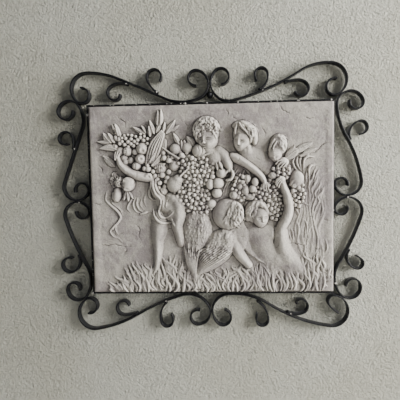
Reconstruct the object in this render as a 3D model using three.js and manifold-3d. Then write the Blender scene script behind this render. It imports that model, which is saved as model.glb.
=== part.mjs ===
// Decorative wall plaque: a cast stone relief panel standing proud of a frame of flat iron bar, with
// hand-bent S-scrolls and small hooks welded round it. Millimetres, +X right, +Z up, front towards -Y.
// The origin is the centre of the panel's flat back, on the wall (plane Y = 0).
import * as THREE from "three";
import { mergeVertices } from "three/addons/utils/BufferGeometryUtils.js";
import Module from "manifold-3d";

const wasm = await Module();
wasm.setup();

// Driving dimensions.
const PANEL = { width: 400, height: 310, depth: 24 };
const LIP = { width: 4, drop: 1, slope: 3, radius: 4 }; // raised border: its step down, edge radius
const FIELD = PANEL.depth - LIP.drop; // distance of the field in front of the wall
const BAR = { thickness: 3, depth: 12 }; // flat iron, its wide side square to the wall
const OPENING = { left: -204.2, right: 200.4, bottom: -158, top: 157.4 }; // panel sits to the right
const GAP = 0.3; // play between neighbouring pieces
const BOSS = { x: 0.2, z: 173.2, radius: 5, depth: 13 }; // round boss that it hangs by
const GRAPE = 4.5; // radius of one grape
const LEAF_HEIGHT = 3.5; // of a leaf's or a grass blade's midrib

// Bars are bent in the plane of the wall. Each starts at [x, z] with a heading in degrees, then
// follows its bends: [length, turn], a left turn counting as positive.
const SCROLLS = {
  scroll_top_left: {
    start: [-217.1, 189.5],
    heading: 6.5,
    bends: [[51, -228], [65, -138], [53, -23], [85, -3], [62, 47], [59, 140], [45, 201]],
  },
  scroll_top_right: {
    start: [208, 193.7],
    heading: 165,
    bends: [[53, 227], [66, 140], [54, 40], [121, -20], [73, -141], [54, -229]],
  },
  scroll_bottom_left: {
    start: [-217.5, -196],
    heading: -15,
    bends: [[52, 228], [76, 155], [79, 23], [83, -15], [55, -81], [44, -118], [43, -195]],
  },
  scroll_bottom_right: {
    start: [212.3, -195.7],
    heading: 152,
    bends: [[21, -26], [26, -140], [82, -174], [111, -25], [72, 39], [66, 128], [52, 218]],
  },
  scroll_left_upper: {
    start: [-231.7, 152.4],
    heading: -82,
    bends: [[46, -204], [46, -133], [40, -52], [96, 1], [67, 172], [47, 227]],
  },
  scroll_left_lower: {
    start: [-232.4, -18.3],
    heading: -95,
    bends: [[44, 217], [65, 165], [90, 12], [54, -64], [50, -155], [35, -181]],
  },
  scroll_right_upper: {
    start: [228.7, 158.5],
    heading: -106,
    bends: [[43, 216], [62, 164], [53, 26], [76, -21], [66, -170], [39, -214]],
  },
  scroll_right_lower: {
    start: [225.6, -14.8],
    heading: -68.5,
    bends: [[41, -223], [71, -176], [88, -15], [58, 72], [54, 166], [33, 159]],
  },
};
const HOOKS = {
  hook_top_left_inner: {
    start: [-137.5, 193.2],
    heading: 159,
    bends: [[28, 49], [32, 142], [17, 108]],
  },
  hook_top_left_outer: {
    start: [-87.8, 178.8],
    heading: 143,
    bends: [[20, -21], [14, -42], [44, -211]],
  },
  hook_top_right_inner: {
    start: [124.3, 189.7],
    heading: 19,
    bends: [[21, -18], [17, -50], [42, -202]],
  },
  hook_top_right_outer: { start: [83.1, 180.1], heading: 26, bends: [[31, 75], [32, 173], [10, 26]] },
  hook_bottom_left_inner: {
    start: [-131.6, -195.5],
    heading: -158,
    bends: [[23, -23], [34, -153], [19, -108]],
  },
  hook_bottom_left_outer: {
    start: [-80.5, -178.2],
    heading: -135,
    bends: [[37, 61], [28, 155], [14, 42]],
  },
  hook_bottom_right_inner: {
    start: [127.1, -194],
    heading: -29,
    bends: [[28, 54], [31, 146], [14, 100]],
  },
  hook_bottom_right_outer: {
    start: [76.6, -175.8],
    heading: -32,
    bends: [[38, -57], [35, -194], [9, 14]],
  },
  hook_left_upper: { start: [-233.1, 88.5], heading: 77, bends: [[21, 33], [33, 160], [21, 125]] },
  hook_left_lower: { start: [-230.3, -95.4], heading: -67, bends: [[28, -73], [22, -86], [35, -160]] },
  hook_right_upper: { start: [229.8, 96], heading: 120, bends: [[7, -29], [29, -75], [37, -197]] },
  hook_right_lower: { start: [228.7, -88.8], heading: -122, bends: [[38, 103], [26, 155], [10, 24]] },
};

// The relief. Rounded forms are [x, z, half width, half height, height above the field].
const FIGURES = {
  top_child: {
    hair: [-3.5, 113.5, 22, 22, 14],
    face: [-3, 100.5, 18, 20, 16],
    chest: [14.5, 67.5, 19, 16, 10],
    arm: [29, 56.5, 6, 12, 11],
  },
  tall_child: {
    hair: [56.5, 110.5, 20, 17, 14],
    face: [52.5, 94.5, 17, 18, 16],
    chest: [58, 65.5, 28, 14, 7],
    side: [81.5, 56, 15, 13, 6],
  },
  right_child: { hair: [112, 87, 15, 17, 13], face: [105, 71, 12, 14, 14] },
  far_child: { crown: [139, 25, 12, 15, 9] },
  reaching_child: {
    hair: [75.5, -23.5, 20, 22, 11],
    face: [79.5, -30.5, 12, 15, 13],
    back: [92.5, -74, 30, 28, 9],
    side: [113, -71, 11, 24, 11],
    hip: [115, -101, 28, 18, 9],
    skirt: [62, -79.5, 22, 24, 6],
  },
  winged_child: {
    hair: [28, -25.5, 26, 26, 14],
    left_wing: [-22, -49, 25, 28, 10],
    right_wing: [24, -71, 18, 19, 12],
  },
  striding_child: {
    face: [-138, 27, 12, 13, 10],
    hair: [-156.5, 35, 12, 12, 7],
    shoulder: [-155.5, 9, 8, 10, 7],
    sleeve: [-138, 7, 7, 7, 4],
    chest: [-91, 15, 11, 20, 6],
    hip: [-71, -7.5, 21, 15, 8],
  },
};
const FRUITS = [
  [-110.5, 83.5, 9, 10, 9], [-113, 67.5, 7.5, 7.5, 9], [-133, 80.5, 8, 8, 8], [-148.5, 80.5, 8, 8, 6],
  [-120.5, 56.5, 7, 7, 7], [-141.5, 67.5, 6.5, 7, 6], [-81, 52, 9, 9, 6], [-56, 82.5, 10, 9, 8],
  [-17.5, 79, 12, 11, 10], [-37.5, 85.5, 9, 8, 6], [-58.5, 27, 13, 14, 10], [-77.5, 15, 7, 7, 5],
  [-61.5, 4, 6, 6, 5], [18, 43, 9, 8, 8], [11.5, 25, 10, 8, 9], [-0.5, 25, 7, 8, 9], [9.5, 10, 8, 7, 8],
  [0.5, -7.5, 8, 7, 7], [59, 33, 8, 8, 7], [72.5, 27, 6, 7, 8], [57, 14, 6, 8, 7], [67.5, 17, 6, 6, 8],
  [38, 6, 7, 7, 7], [118, 56.5, 11, 7, 9], [-59.5, 55, 10, 8, 5], [100.5, 38, 7, 6, 6],
];
// Bunches of grapes, as the oval that each one fills and the rise of its middle.
const BUNCHES = [
  [-127, 97.5, 20, 12, 4], [-27.5, 28, 23, 46, 5], [97.5, -8, 20, 25, 4],
  [117.5, 46, 14, 9, 4], [140.5, 5, 12, 14, 4], [47, 17, 12, 23, 4],
];
// Limbs and folds: round stems through [x, z, radius], their axis the stated height above the field.
const STEMS = [
  {
    name: "striding arm",
    height: 3,
    path: [[-152, 66.5, 3.5], [-146, 58.5, 5.5], [-126, 44.5, 7.5], [-101.5, 36, 7.5]],
  },
  {
    name: "striding leg",
    height: 1,
    path: [[-85.5, -41.5, 8.5], [-88.5, -74, 5.5], [-90.5, -103.5, 4.5], [-95.5, -120.5, 2.5]],
  },
  {
    name: "striding thigh",
    height: 1,
    path: [[-59, -7.5, 10], [-53, -27.5, 9.5], [-54, -47, 6.5], [-49, -70, 5]],
  },
  {
    name: "tall arm",
    height: 5,
    path: [[38, 70.5, 8.5], [60, 61.5, 8], [77.5, 46.5, 6.5], [91.5, 24, 4.5]],
  },
  {
    name: "reaching arm",
    height: 5,
    path: [[113, 31, 5], [119, 19, 6.5], [126, 0, 8], [126, -21.5, 9], [118, -43.5, 9], [111, -61, 9]],
  },
  { name: "winged arm", height: 3, path: [[42, -85, 5], [50, -98.5, 5], [60.5, -110.5, 4.5]] },
  { name: "ear of corn", height: 3, path: [[-99.5, 70.5, 5], [-74.5, 108, 3]] },
  { name: "second ear", height: 2, path: [[-91.5, 70.5, 4], [-72.5, 97, 3]] },
  {
    name: "wing edge",
    height: 8,
    path: [[-4.5, -29.5, 3], [3.5, -47, 3.5], [-5.5, -69, 3], [-18.5, -89, 2.5]],
  },
  {
    name: "ribbon",
    height: 0,
    path: [
      [-172, 13, 2.5], [-172, 1, 2.5], [-163, -8, 3], [-150, -20, 3], [-150, -32, 3],
      [-165, -48, 3.5], [-160, -59, 3], [-148, -67, 2],
    ],
  },
  { name: "curl", height: 0, path: [[-129, -2, 2], [-136, -11, 2], [-132, -19, 2]] },
  { name: "second curl", height: 0, path: [[-122, -2, 2], [-124, -13, 2], [-112, -21, 2]] },
  {
    name: "swirl of cloth",
    height: 3,
    path: [[-82, 2, 3], [-85, -14, 3], [-80, -27, 3], [-71, -28, 3], [-62, -22, 2.5]],
  },
  { name: "hem", height: 1, path: [[-94, -19, 2.5], [-88, -32, 3], [-73, -37, 3], [-59, -40, 3]] },
  { name: "reed", height: 0, path: [[163, 66, 2], [153, 65, 2], [149.5, 57, 2.5], [149.5, 40, 2]] },
  { name: "second reed", height: 0, path: [[164, 51, 2], [159.5, 48, 2], [159.5, 22, 2]] },
];
// Leaves: [base x, base z, tip x, tip z, width].
const LEAVES = [
  [-161, 95, -172, 110, 9], [-168, 95, -184, 98, 5], [-155, 85, -180, 87, 7], [-149, 109, -154, 125, 5],
  [-105, 109, -125, 120, 6], [-98, 105, -100, 120, 4], [-92, 109, -96, 129, 5], [-79, 126, -79, 148, 9],
  [-87, 111, -81, 127, 5], [-76, 111, -72, 126, 4], [-69, 112, -57, 128, 5], [-51, 91, -59, 106, 5],
  [-158, 58, -176, 75, 10], [-91, 61, -79, 75, 8], [-25, 89, -36, 101, 8], [5, 75, -13, 69, 5],
  [127, 67, 161, 83, 12], [135, 59, 145, 69, 6],
];
// Each wing ends in a fan of long feathers: [root x, root z, tip x, tip z, radius].
const FEATHERS = [
  [-38, -60, -38, -115, 4], [-30, -62, -34, -123, 4],
  [-22, -62, -29, -129, 4], [-12, -66, -25, -125, 4],
  [36, -84, -5, -111, 5], [30, -80, -11, -118, 5], [22, -76, -15, -124, 5], [14, -72, -19, -130, 5],
];
// Grass along the bottom edge, blade by blade.
const GRASS = { from: -146, to: 170, pitch: 14, foot: -152, low: 16, high: 40, width: 8, lean: 9 };

const STONE = new THREE.MeshStandardMaterial({ color: 0xa9a49a, roughness: 0.85, metalness: 0 });
const IRON = new THREE.MeshStandardMaterial({ color: 0x1f1f22, roughness: 0.5, metalness: 0.4 });

// A closed three.js geometry as a solid that can be joined and cut.
function solidOf(geometry) {
  const bare = geometry.clone();
  bare.deleteAttribute("normal");
  bare.deleteAttribute("uv");
  const merged = mergeVertices(bare, 1e-4);
  return new wasm.Manifold(
    new wasm.Mesh({
      numProp: 3,
      vertProperties: merged.attributes.position.array,
      triVerts: new Uint32Array(merged.index.array),
    }),
  );
}

function geometryOf(solid) {
  const { vertProperties, triVerts } = solid.getMesh();
  const geometry = new THREE.BufferGeometry();
  geometry.setAttribute("position", new THREE.BufferAttribute(vertProperties, 3));
  geometry.setIndex(new THREE.BufferAttribute(triVerts, 1));
  geometry.computeVertexNormals();
  return geometry;
}

// Closed rings of equal length joined one to the next and capped at both ends.
function loft(rings) {
  const sides = rings[0].length;
  const points = rings.flat();
  const faces = [];
  for (let ring = 0; ring + 1 < rings.length; ring++) {
    for (let i = 0; i < sides; i++) {
      const a = ring * sides + i;
      const b = ring * sides + ((i + 1) % sides);
      faces.push(a, b, a + sides, b, b + sides, a + sides);
    }
  }
  const last = (rings.length - 1) * sides;
  for (let i = 1; i + 1 < sides; i++) {
    faces.push(0, i + 1, i);
    faces.push(last, last + i, last + i + 1);
  }
  const geometry = new THREE.BufferGeometry().setFromPoints(points);
  geometry.setIndex(faces);
  return geometry;
}

// Panel blank: straight sides, a rounded front edge, a flat lip and the sunk field inside it.
function panelBlank() {
  const bend = [0, 30, 60, 90].map((degrees) => THREE.MathUtils.degToRad(degrees));
  const profile = [[0, 0]]; // [inset from the side, distance in front of the wall]
  for (const angle of bend) {
    const inset = LIP.radius * (1 - Math.cos(angle));
    profile.push([inset, PANEL.depth - LIP.radius * (1 - Math.sin(angle))]);
  }
  profile.push([LIP.radius + LIP.width, PANEL.depth]);
  profile.push([LIP.radius + LIP.width + LIP.slope, FIELD]);
  const rings = profile.map(([inset, front]) => {
    const x = PANEL.width / 2 - inset;
    const z = PANEL.height / 2 - inset;
    return [[-x, -z], [x, -z], [x, z], [-x, z]].map(([a, b]) => new THREE.Vector3(a, -front, b));
  });
  return loft(rings);
}

// Half-sunk rounded form on the field.
function dome([x, z, halfWidth, halfHeight, height], sides, rings) {
  const geometry = new THREE.SphereGeometry(1, sides, rings);
  geometry.scale(halfWidth, height, halfHeight);
  geometry.translate(x, -FIELD, z);
  return geometry;
}

// Round stem through [x, z, radius] points, with blunt ends.
function stem(path, height) {
  const sides = 5;
  const [capLength, capWidth] = [0.7, 0.6]; // of the radius at that end
  const at = path.map(([x, z]) => new THREE.Vector3(x, -FIELD - height, z));
  const radii = path.map((point) => point[2]);
  const ends = [at[0].clone().sub(at[1]).normalize(), at.at(-1).clone().sub(at.at(-2)).normalize()];
  const centres = [at[0].clone().addScaledVector(ends[0], radii[0] * capLength), ...at];
  centres.push(at.at(-1).clone().addScaledVector(ends[1], radii.at(-1) * capLength));
  const widths = [radii[0] * capWidth, ...radii, radii.at(-1) * capWidth];
  const rings = centres.map((centre, i) => {
    const before = centres[Math.max(i - 1, 0)];
    const after = centres[Math.min(i + 1, centres.length - 1)];
    const along = after.clone().sub(before).normalize();
    const across = new THREE.Vector3(along.z, 0, -along.x);
    const out = new THREE.Vector3(0, -1, 0);
    return Array.from({ length: sides }, (_, k) => {
      const angle = (-(k + 0.5) / sides) * 2 * Math.PI;
      const point = centre.clone().addScaledVector(across, widths[i] * Math.cos(angle));
      return point.addScaledVector(out, widths[i] * Math.sin(angle));
    });
  });
  return loft(rings);
}

// Pointed leaf with a raised midrib, from its base to its tip, widest a little before the middle.
function leaf([x1, z1, x2, z2, width]) {
  const [height, tipShare, widest] = [LEAF_HEIGHT, 0.4, 0.45];
  const base = new THREE.Vector3(x1, -FIELD, z1);
  const tip = new THREE.Vector3(x2, -FIELD - height * tipShare, z2);
  const along = tip.clone().sub(base);
  const across = new THREE.Vector3(along.z, 0, -along.x).setLength(width / 2);
  const middle = base.clone().addScaledVector(along, widest);
  const left = middle.clone().add(across);
  const right = middle.clone().sub(across);
  const rib = middle.clone().setY(-FIELD - height);
  const under = middle.clone().setY(-FIELD + 2);
  const geometry = new THREE.BufferGeometry().setFromPoints([base, tip, left, right, rib, under]);
  geometry.setIndex([0, 2, 4, 2, 1, 4, 1, 3, 4, 3, 0, 4, 0, 5, 2, 2, 5, 1, 1, 5, 3, 3, 5, 0]);
  return geometry;
}

// Long feather of a wing, full for half its length and then narrowing to half its width.
function feather([x1, z1, x2, z2, radius]) {
  const middle = [(x1 + x2) / 2, (z1 + z2) / 2, radius];
  return stem([[x1, z1, radius], middle, [x2, z2, radius / 2]], 2);
}

// Grapes in staggered rows filling an oval, the middle ones standing highest.
function grapes([x, z, halfWidth, halfHeight, height]) {
  const found = [];
  const pitch = GRAPE * 2.1; // a little over a diameter
  const rows = Math.floor(halfHeight / pitch);
  const columns = Math.ceil(halfWidth / pitch);
  for (let row = -rows; row <= rows; row++) {
    for (let column = -columns; column <= columns; column++) {
      const u = (column + (row % 2 ? 0.5 : 0)) * pitch;
      const v = row * pitch;
      const rim = (u / halfWidth) ** 2 + (v / halfHeight) ** 2;
      if (rim < 1) {
        const rise = GRAPE + height * Math.sqrt(1 - rim);
        const grape = new THREE.SphereGeometry(1, 6, 2).scale(GRAPE, rise, GRAPE); // few faces each
        found.push(grape.translate(x + u, -FIELD, z + v));
      }
    }
  }
  return found;
}

// Blades of grass whose height and lean wander along the edge.
function grass() {
  const blades = [];
  const count = Math.round((GRASS.to - GRASS.from) / GRASS.pitch);
  for (let i = 0; i <= count; i++) {
    const x = GRASS.from + i * GRASS.pitch;
    const wander = (Math.sin(i * 2.4) + Math.sin(i * 1.1 + 1)) / 2; // between -1 and 1
    const tall = GRASS.low + ((GRASS.high - GRASS.low) * (1 + wander)) / 2;
    const lean = GRASS.lean * Math.sin(i * 1.7);
    blades.push(leaf([x, GRASS.foot, x + lean, GRASS.foot + tall, GRASS.width]));
  }
  return blades;
}

function panelWithRelief() {
  const forms = [];
  for (const figure of Object.values(FIGURES)) {
    for (const form of Object.values(figure)) {
      forms.push(dome(form, 10, 5));
    }
  }
  FRUITS.forEach((fruit) => forms.push(dome(fruit, 8, 4)));
  BUNCHES.forEach((bunch) => forms.push(...grapes(bunch)));
  STEMS.forEach(({ path, height }) => forms.push(stem(path, height)));
  LEAVES.forEach((shape) => forms.push(leaf(shape)));
  FEATHERS.forEach((shape) => forms.push(feather(shape)));
  forms.push(...grass());
  const joined = forms.map(solidOf).reduce((whole, form) => whole.add(form), solidOf(panelBlank()));
  const bodies = joined.decompose();
  return geometryOf(bodies.reduce((most, body) => (body.volume() > most.volume() ? body : most)));
}

// Outline of a bent bar seen from the front: its two edges, half a thickness each side of the line.
function barOutline({ start, heading, bends }) {
  const degreesPerStep = 32;
  const longestStep = 45;
  let [x, z] = start;
  let angle = THREE.MathUtils.degToRad(heading);
  const half = BAR.thickness / 2;
  const left = [];
  const right = [];
  const station = () => {
    left.push(new THREE.Vector2(x - half * Math.sin(angle), z + half * Math.cos(angle)));
    right.push(new THREE.Vector2(x + half * Math.sin(angle), z - half * Math.cos(angle)));
  };
  station();
  for (const [length, turn] of bends) {
    const steps = Math.ceil(Math.max(Math.abs(turn) / degreesPerStep, length / longestStep));
    const bend = THREE.MathUtils.degToRad(turn) / steps;
    const chord = ((length / steps) * Math.sin(bend / 2)) / (bend / 2);
    for (let i = 0; i < steps; i++) {
      x += chord * Math.cos(angle + bend / 2);
      z += chord * Math.sin(angle + bend / 2);
      angle += bend;
      station();
    }
  }
  return new THREE.Shape([...right, ...left.reverse()]);
}

// Bar of the given front outline, standing its full depth off the wall.
function bentBar(bar) {
  const settings = { depth: BAR.depth, bevelEnabled: false };
  return new THREE.ExtrudeGeometry(barOutline(bar), settings).rotateX(Math.PI / 2);
}

// Straight rail between two corners [x, z].
function rail([x1, z1], [x2, z2]) {
  const geometry = new THREE.BoxGeometry(x2 - x1, BAR.depth, z2 - z1);
  return geometry.translate((x1 + x2) / 2, -BAR.depth / 2, (z1 + z2) / 2);
}

function boss() {
  const geometry = new THREE.CylinderGeometry(BOSS.radius, BOSS.radius, BOSS.depth, 16);
  return geometry.translate(BOSS.x, -BOSS.depth / 2, BOSS.z);
}

const plaque = new THREE.Group();
function addPiece(name, geometry, material) {
  const mesh = new THREE.Mesh(geometry, material.clone());
  mesh.name = name;
  plaque.add(mesh);
}

addPiece("relief_panel", panelWithRelief(), STONE);

const t = BAR.thickness;
const { left, right, bottom, top } = OPENING;
addPiece("rail_top", rail([left - t, top], [right + t, top + t]), IRON);
addPiece("rail_bottom", rail([left - t, bottom - t], [right + t, bottom]), IRON);
addPiece("rail_left", rail([left - t, bottom + GAP], [left, top - GAP]), IRON);
addPiece("rail_right", rail([right, bottom + GAP], [right + t, top - GAP]), IRON);

for (const [name, bar] of Object.entries({ ...SCROLLS, ...HOOKS })) {
  addPiece(name, bentBar(bar), IRON);
}
addPiece("hanging_boss", boss(), IRON);

export default plaque;
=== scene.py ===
import math

import bpy
import bmesh
import numpy as np
from mathutils import Matrix, Vector


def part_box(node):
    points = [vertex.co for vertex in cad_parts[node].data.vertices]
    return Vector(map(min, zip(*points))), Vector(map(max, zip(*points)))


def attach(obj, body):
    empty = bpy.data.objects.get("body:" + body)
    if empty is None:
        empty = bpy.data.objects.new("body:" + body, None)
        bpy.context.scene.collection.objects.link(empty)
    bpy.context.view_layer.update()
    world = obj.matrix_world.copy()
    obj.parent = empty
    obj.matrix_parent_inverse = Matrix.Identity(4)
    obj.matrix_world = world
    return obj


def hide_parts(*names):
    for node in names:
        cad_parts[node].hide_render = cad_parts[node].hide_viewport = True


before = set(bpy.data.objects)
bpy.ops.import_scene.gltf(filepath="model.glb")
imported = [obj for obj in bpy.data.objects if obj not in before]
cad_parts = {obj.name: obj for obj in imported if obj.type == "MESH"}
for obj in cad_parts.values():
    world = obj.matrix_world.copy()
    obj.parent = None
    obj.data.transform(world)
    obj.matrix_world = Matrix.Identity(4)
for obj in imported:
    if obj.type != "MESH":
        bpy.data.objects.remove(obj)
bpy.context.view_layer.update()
MM = 0.001


def box_mm(name):
    """Low and high corner of a solid of the frame, in millimetres."""
    return (Vector(corner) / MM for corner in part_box(name))


# ---------------------------------------------------------------- relief, in millimetres
GRID = 0.5
HALF_W, HALF_H = 200.0, 155.0
EYE = (30.0, 26.0, 625.0)  # foot of the line of sight on the panel, and its distance

xs = np.arange(-HALF_W, HALF_W + GRID / 2, GRID)
zs = np.arange(-HALF_H, HALF_H + GRID / 2, GRID)
X, Z = np.meshgrid(xs, zs)
H = np.zeros_like(X)
STAIN = np.zeros_like(X)


def placed(x, z, rise):
    """Centre of a form that rises above the field, from where it is seen against the field."""
    share = rise / EYE[2]
    return x + (EYE[0] - x) * share, z + (EYE[1] - z) * share


def cells(low, high, half):
    """Rows or columns of the grid between two places."""
    return slice(max(int((low + half) / GRID), 0), max(int((high + half) / GRID) + 2, 0))


def window(x, z, reach):
    """Square part of the field round a place."""
    return cells(z - reach, z + reach, HALF_H), cells(x - reach, x + reach, HALF_W)


def span(line, pad):
    """Part of the field that a line of x, z rows covers."""
    low = line[:, :2].min(axis=0) - pad
    high = line[:, :2].max(axis=0) + pad
    return cells(low[1], high[1], HALF_H), cells(low[0], high[0], HALF_W)


def blank():
    """Layer of the field's size with nothing on it."""
    return np.zeros_like(X)


def add(layer):
    H[:] += layer


def lift(area, height, blend=0.8):
    """Raise the field to the height, with a soft join where the two are nearly level."""
    old = H[area]
    overlap = np.clip(blend - np.abs(old - height), 0, None) ** 2 / (4 * blend)
    H[area] = np.maximum(old, height) + overlap * np.clip(height / blend, 0, 1)


def oval(x, z, rx, rz, top, depth=None, turn=0.0, blend=0.8):
    """Rounded form whose middle stands at top; depth is how far its sides fall."""
    depth = top if depth is None else depth
    x, z = placed(x, z, top * 0.6)
    area = window(x, z, max(rx, rz))
    a = np.radians(turn)
    dx, dz = X[area] - x, Z[area] - z
    u = (dx * np.cos(a) + dz * np.sin(a)) / rx
    v = (-dx * np.sin(a) + dz * np.cos(a)) / rz
    r2 = u * u + v * v
    height = np.where(r2 < 1, top - depth + depth * np.sqrt(np.clip(1 - r2, 0, 1)), -99)
    lift(area, height, blend)


def curve(points, steps=10):
    """Smooth line through rows of numbers."""
    p = np.asarray(points, float)
    if len(p) == 2:
        t = np.linspace(0, 1, steps + 1)[:, None]
        return p[0] * (1 - t) + p[1] * t
    ext = np.vstack([2 * p[0] - p[1], p, 2 * p[-1] - p[-2]])
    out = []
    for i in range(1, len(ext) - 2):
        a, b, c, d = ext[i - 1:i + 3]
        t = np.linspace(0, 1, steps, endpoint=False)[:, None]
        out.append(0.5 * (2 * b + (c - a) * t + (2 * a - 5 * b + 4 * c - d) * t**2
                          + (3 * b - a - 3 * c + d) * t**3))
    return np.vstack(out + [p[-1:]])


def stroke(layer, points, width, height, ends=(0.3, 0.3), power=1.0, steps=8):
    """Ridge of the given width and height along x, z rows, tapering to its ends."""
    line = curve([(p[0], p[1]) for p in points], steps)
    area = span(line, width)
    gx, gz = X[area], Z[area]
    if gx.size == 0:
        return
    best = np.zeros_like(gx)
    n = len(line) - 1
    for i in range(n):
        a, b = line[i], line[i + 1]
        ab = b - a
        t = np.clip(((gx - a[0]) * ab[0] + (gz - a[1]) * ab[1]) / max(ab @ ab, 1e-9), 0, 1)
        d = np.hypot(gx - a[0] - t * ab[0], gz - a[1] - t * ab[1])
        s = (i + t) / n
        taper = np.minimum(1, np.minimum(ends[0] + s * 4 * (1 - ends[0]),
                                         ends[1] + (1 - s) * 2.2 * (1 - ends[1])))
        w = width / 2 * taper
        best = np.maximum(best, taper * np.clip(1 - (d / w) ** 2, 0, 1) ** power)
    layer[area] = np.maximum(layer[area], height * best)


def soft(field, radius):
    """The field smoothed over the radius."""
    k = int(radius / GRID)
    out = field
    for _ in range(2):
        for axis in (0, 1):
            pad = [(k + 1, k) if a == axis else (0, 0) for a in (0, 1)]
            total = np.cumsum(np.pad(out, pad, mode="edge"), axis=axis)
            hi = np.take(total, range(2 * k + 1, total.shape[axis]), axis=axis)
            lo = np.take(total, range(0, total.shape[axis] - 2 * k - 1), axis=axis)
            out = (hi - lo) / (2 * k + 1)
    return out


def gauss(u, v, u0, v0, su, sv):
    return np.exp(-(((u - u0) / su) ** 2) - (((v - v0) / sv) ** 2))


def flow(points, round_=0.75, blend=1.5, steps=6, base=0.0):
    """Soft-sided form along rows of x, z, radius, top. A low round_ gives full, steep sides."""
    line = curve(points, steps)
    for row in line:
        row[0], row[1] = placed(row[0], row[1], row[3] * 0.6)
    area = span(line, line[:, 2].max())
    gx, gz = X[area], Z[area]
    best = np.full_like(gx, -99.0)
    for a, b in zip(line[:-1], line[1:]):
        ab = b[:2] - a[:2]
        t = np.clip(((gx - a[0]) * ab[0] + (gz - a[1]) * ab[1]) / max(ab @ ab, 1e-9), 0, 1)
        d2 = (gx - a[0] - t * ab[0]) ** 2 + (gz - a[1] - t * ab[1]) ** 2
        r = a[2] + t * (b[2] - a[2])
        q = 1 - d2 / (r * r)
        top = a[3] + t * (b[3] - a[3])
        best = np.maximum(best, np.where(q > 0, base + (top - base) * np.clip(q, 0, 1) ** round_, -99))
    lift(area, best, blend)


def face(x, z, rx, rz, top, turn=0.0, nod=0.0, tilt=0.0, depth=None):
    """A calm child's face of a general kind, on an egg-shaped head. turn and nod in degrees."""
    depth = top * 0.9 if depth is None else depth
    px, pz = placed(x, z, top * 0.6)
    area = window(px, pz, max(rx, rz) * 1.05)
    a = np.radians(tilt)
    dx, dz = X[area] - px, Z[area] - pz
    u = (dx * np.cos(a) + dz * np.sin(a)) / rx
    v = (-dx * np.sin(a) + dz * np.cos(a)) / rz
    wide = u * (1 + 0.26 * np.clip(-v, 0, 1) ** 2)  # narrower chin
    r2 = wide * wide + v * v
    lon = np.arcsin(np.clip(wide / np.sqrt(np.clip(1 - v * v, 0.05, 1)), -1, 1)) - np.radians(turn)
    lat = np.arcsin(np.clip(v, -1, 1)) - np.radians(nod)
    p = np.where(np.abs(lon) > np.pi / 2, 2 * np.sign(lon), np.sin(lon))
    q = np.sin(lat)
    d = np.zeros_like(u)
    for side in (-1, 1):
        d -= 2.3 * gauss(p, q, 0.38 * side, 0.06, 0.22, 0.13)
        d += 1.6 * gauss(p, q, 0.39 * side, 0.04, 0.14, 0.065)
        d -= 0.8 * gauss(p, q, 0.39 * side, -0.03, 0.15, 0.025)
        d += 0.8 * gauss(p, q, 0.42 * side, 0.22, 0.26, 0.06)
        d += 1.5 * gauss(p, q, 0.50 * side, -0.36, 0.26, 0.24)
        d += 0.8 * gauss(p, q, 0.14 * side, -0.29, 0.07, 0.05)
    d += 1.3 * gauss(p, q, 0, 0.0, 0.09, 0.26) + 2.6 * gauss(p, q, 0, -0.25, 0.13, 0.10)
    d -= 1.3 * gauss(p, q, 0, -0.39, 0.15, 0.04)
    d += 1.2 * gauss(p, q, 0, -0.50, 0.20, 0.045) - 1.6 * gauss(p, q, 0, -0.56, 0.21, 0.024)
    d += 1.2 * gauss(p, q, 0, -0.63, 0.15, 0.05) - 1.0 * gauss(p, q, 0, -0.72, 0.16, 0.04)
    d += 1.3 * gauss(p, q, 0, -0.84, 0.20, 0.11) + 0.7 * gauss(p, q, 0, 0.5, 0.5, 0.25)
    egg = top - depth + depth * np.clip(1 - r2, 0, 1) ** 0.55 + d * rx / 13 * np.clip((1 - r2) * 3, 0, 1)
    lift(area, np.where(r2 < 1, egg, -99), 0.5)


def curls(x, z, rx, rz, top, size=3.2, count=26, ring=0.0, seed=1, height=1.6, arc=(0, 360)):
    """Curly hair: small spirals scattered over an oval, on the forms already there."""
    r = np.random.default_rng(seed)
    layer = blank()
    px, pz = placed(x, z, top * 0.6)
    for _ in range(count):
        rho = np.sqrt(r.uniform(ring**2, 1))
        th = np.radians(r.uniform(*arc))
        cx, cz = px + rx * rho * np.cos(th), pz + rz * rho * np.sin(th)
        spin = r.choice([-1, 1])
        start = r.uniform(0, 360)
        s = size * r.uniform(0.7, 1.15)
        pts = []
        for i in range(7):
            f = i / 6
            ang = np.radians(start + spin * 300 * f)
            pts.append((cx + s * (1 - 0.7 * f) * np.cos(ang), cz + s * (1 - 0.7 * f) * np.sin(ang)))
        stroke(layer, pts, size * 0.75, height, (0.5, 0.6), 0.7, 4)
    add(layer)


def tufts(x, z, rx, rz, crown, count, length, width, rise, swirl=0.0, seed=1, bare=None, top=8):
    """Tousled hair: short tapering locks that run away from the crown, none over the bare oval."""
    g = np.random.default_rng(seed)
    layer = blank()
    for _ in range(count):
        rho, th = np.sqrt(g.uniform(0, 1)), g.uniform(0, 2 * np.pi)
        px, pz = x + rx * rho * np.cos(th), z + rz * rho * np.sin(th)
        way = np.arctan2(pz - crown[1], px - crown[0]) + np.radians(swirl) + g.uniform(-0.35, 0.35)
        bend = g.uniform(-0.55, 0.55)
        step = length * g.uniform(0.6, 1.2) / 3
        pts = [(px, pz)]
        for _ in range(3):
            pts.append((pts[-1][0] + step * np.cos(way), pts[-1][1] + step * np.sin(way)))
            way += bend
        if bare and any(((a - bare[0]) / bare[2]) ** 2 + ((b - bare[1]) / bare[3]) ** 2 < 1 for a, b in pts):
            continue
        if any(((a - x) / rx) ** 2 + ((b - z) / rz) ** 2 > 1.15 for a, b in pts):
            continue
        stroke(layer, [placed(a, b, top) for a, b in pts], width * g.uniform(0.8, 1.2),
               rise * g.uniform(0.6, 1.15), (0.45, 0.25), 0.8, 4)
    add(layer)


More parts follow.
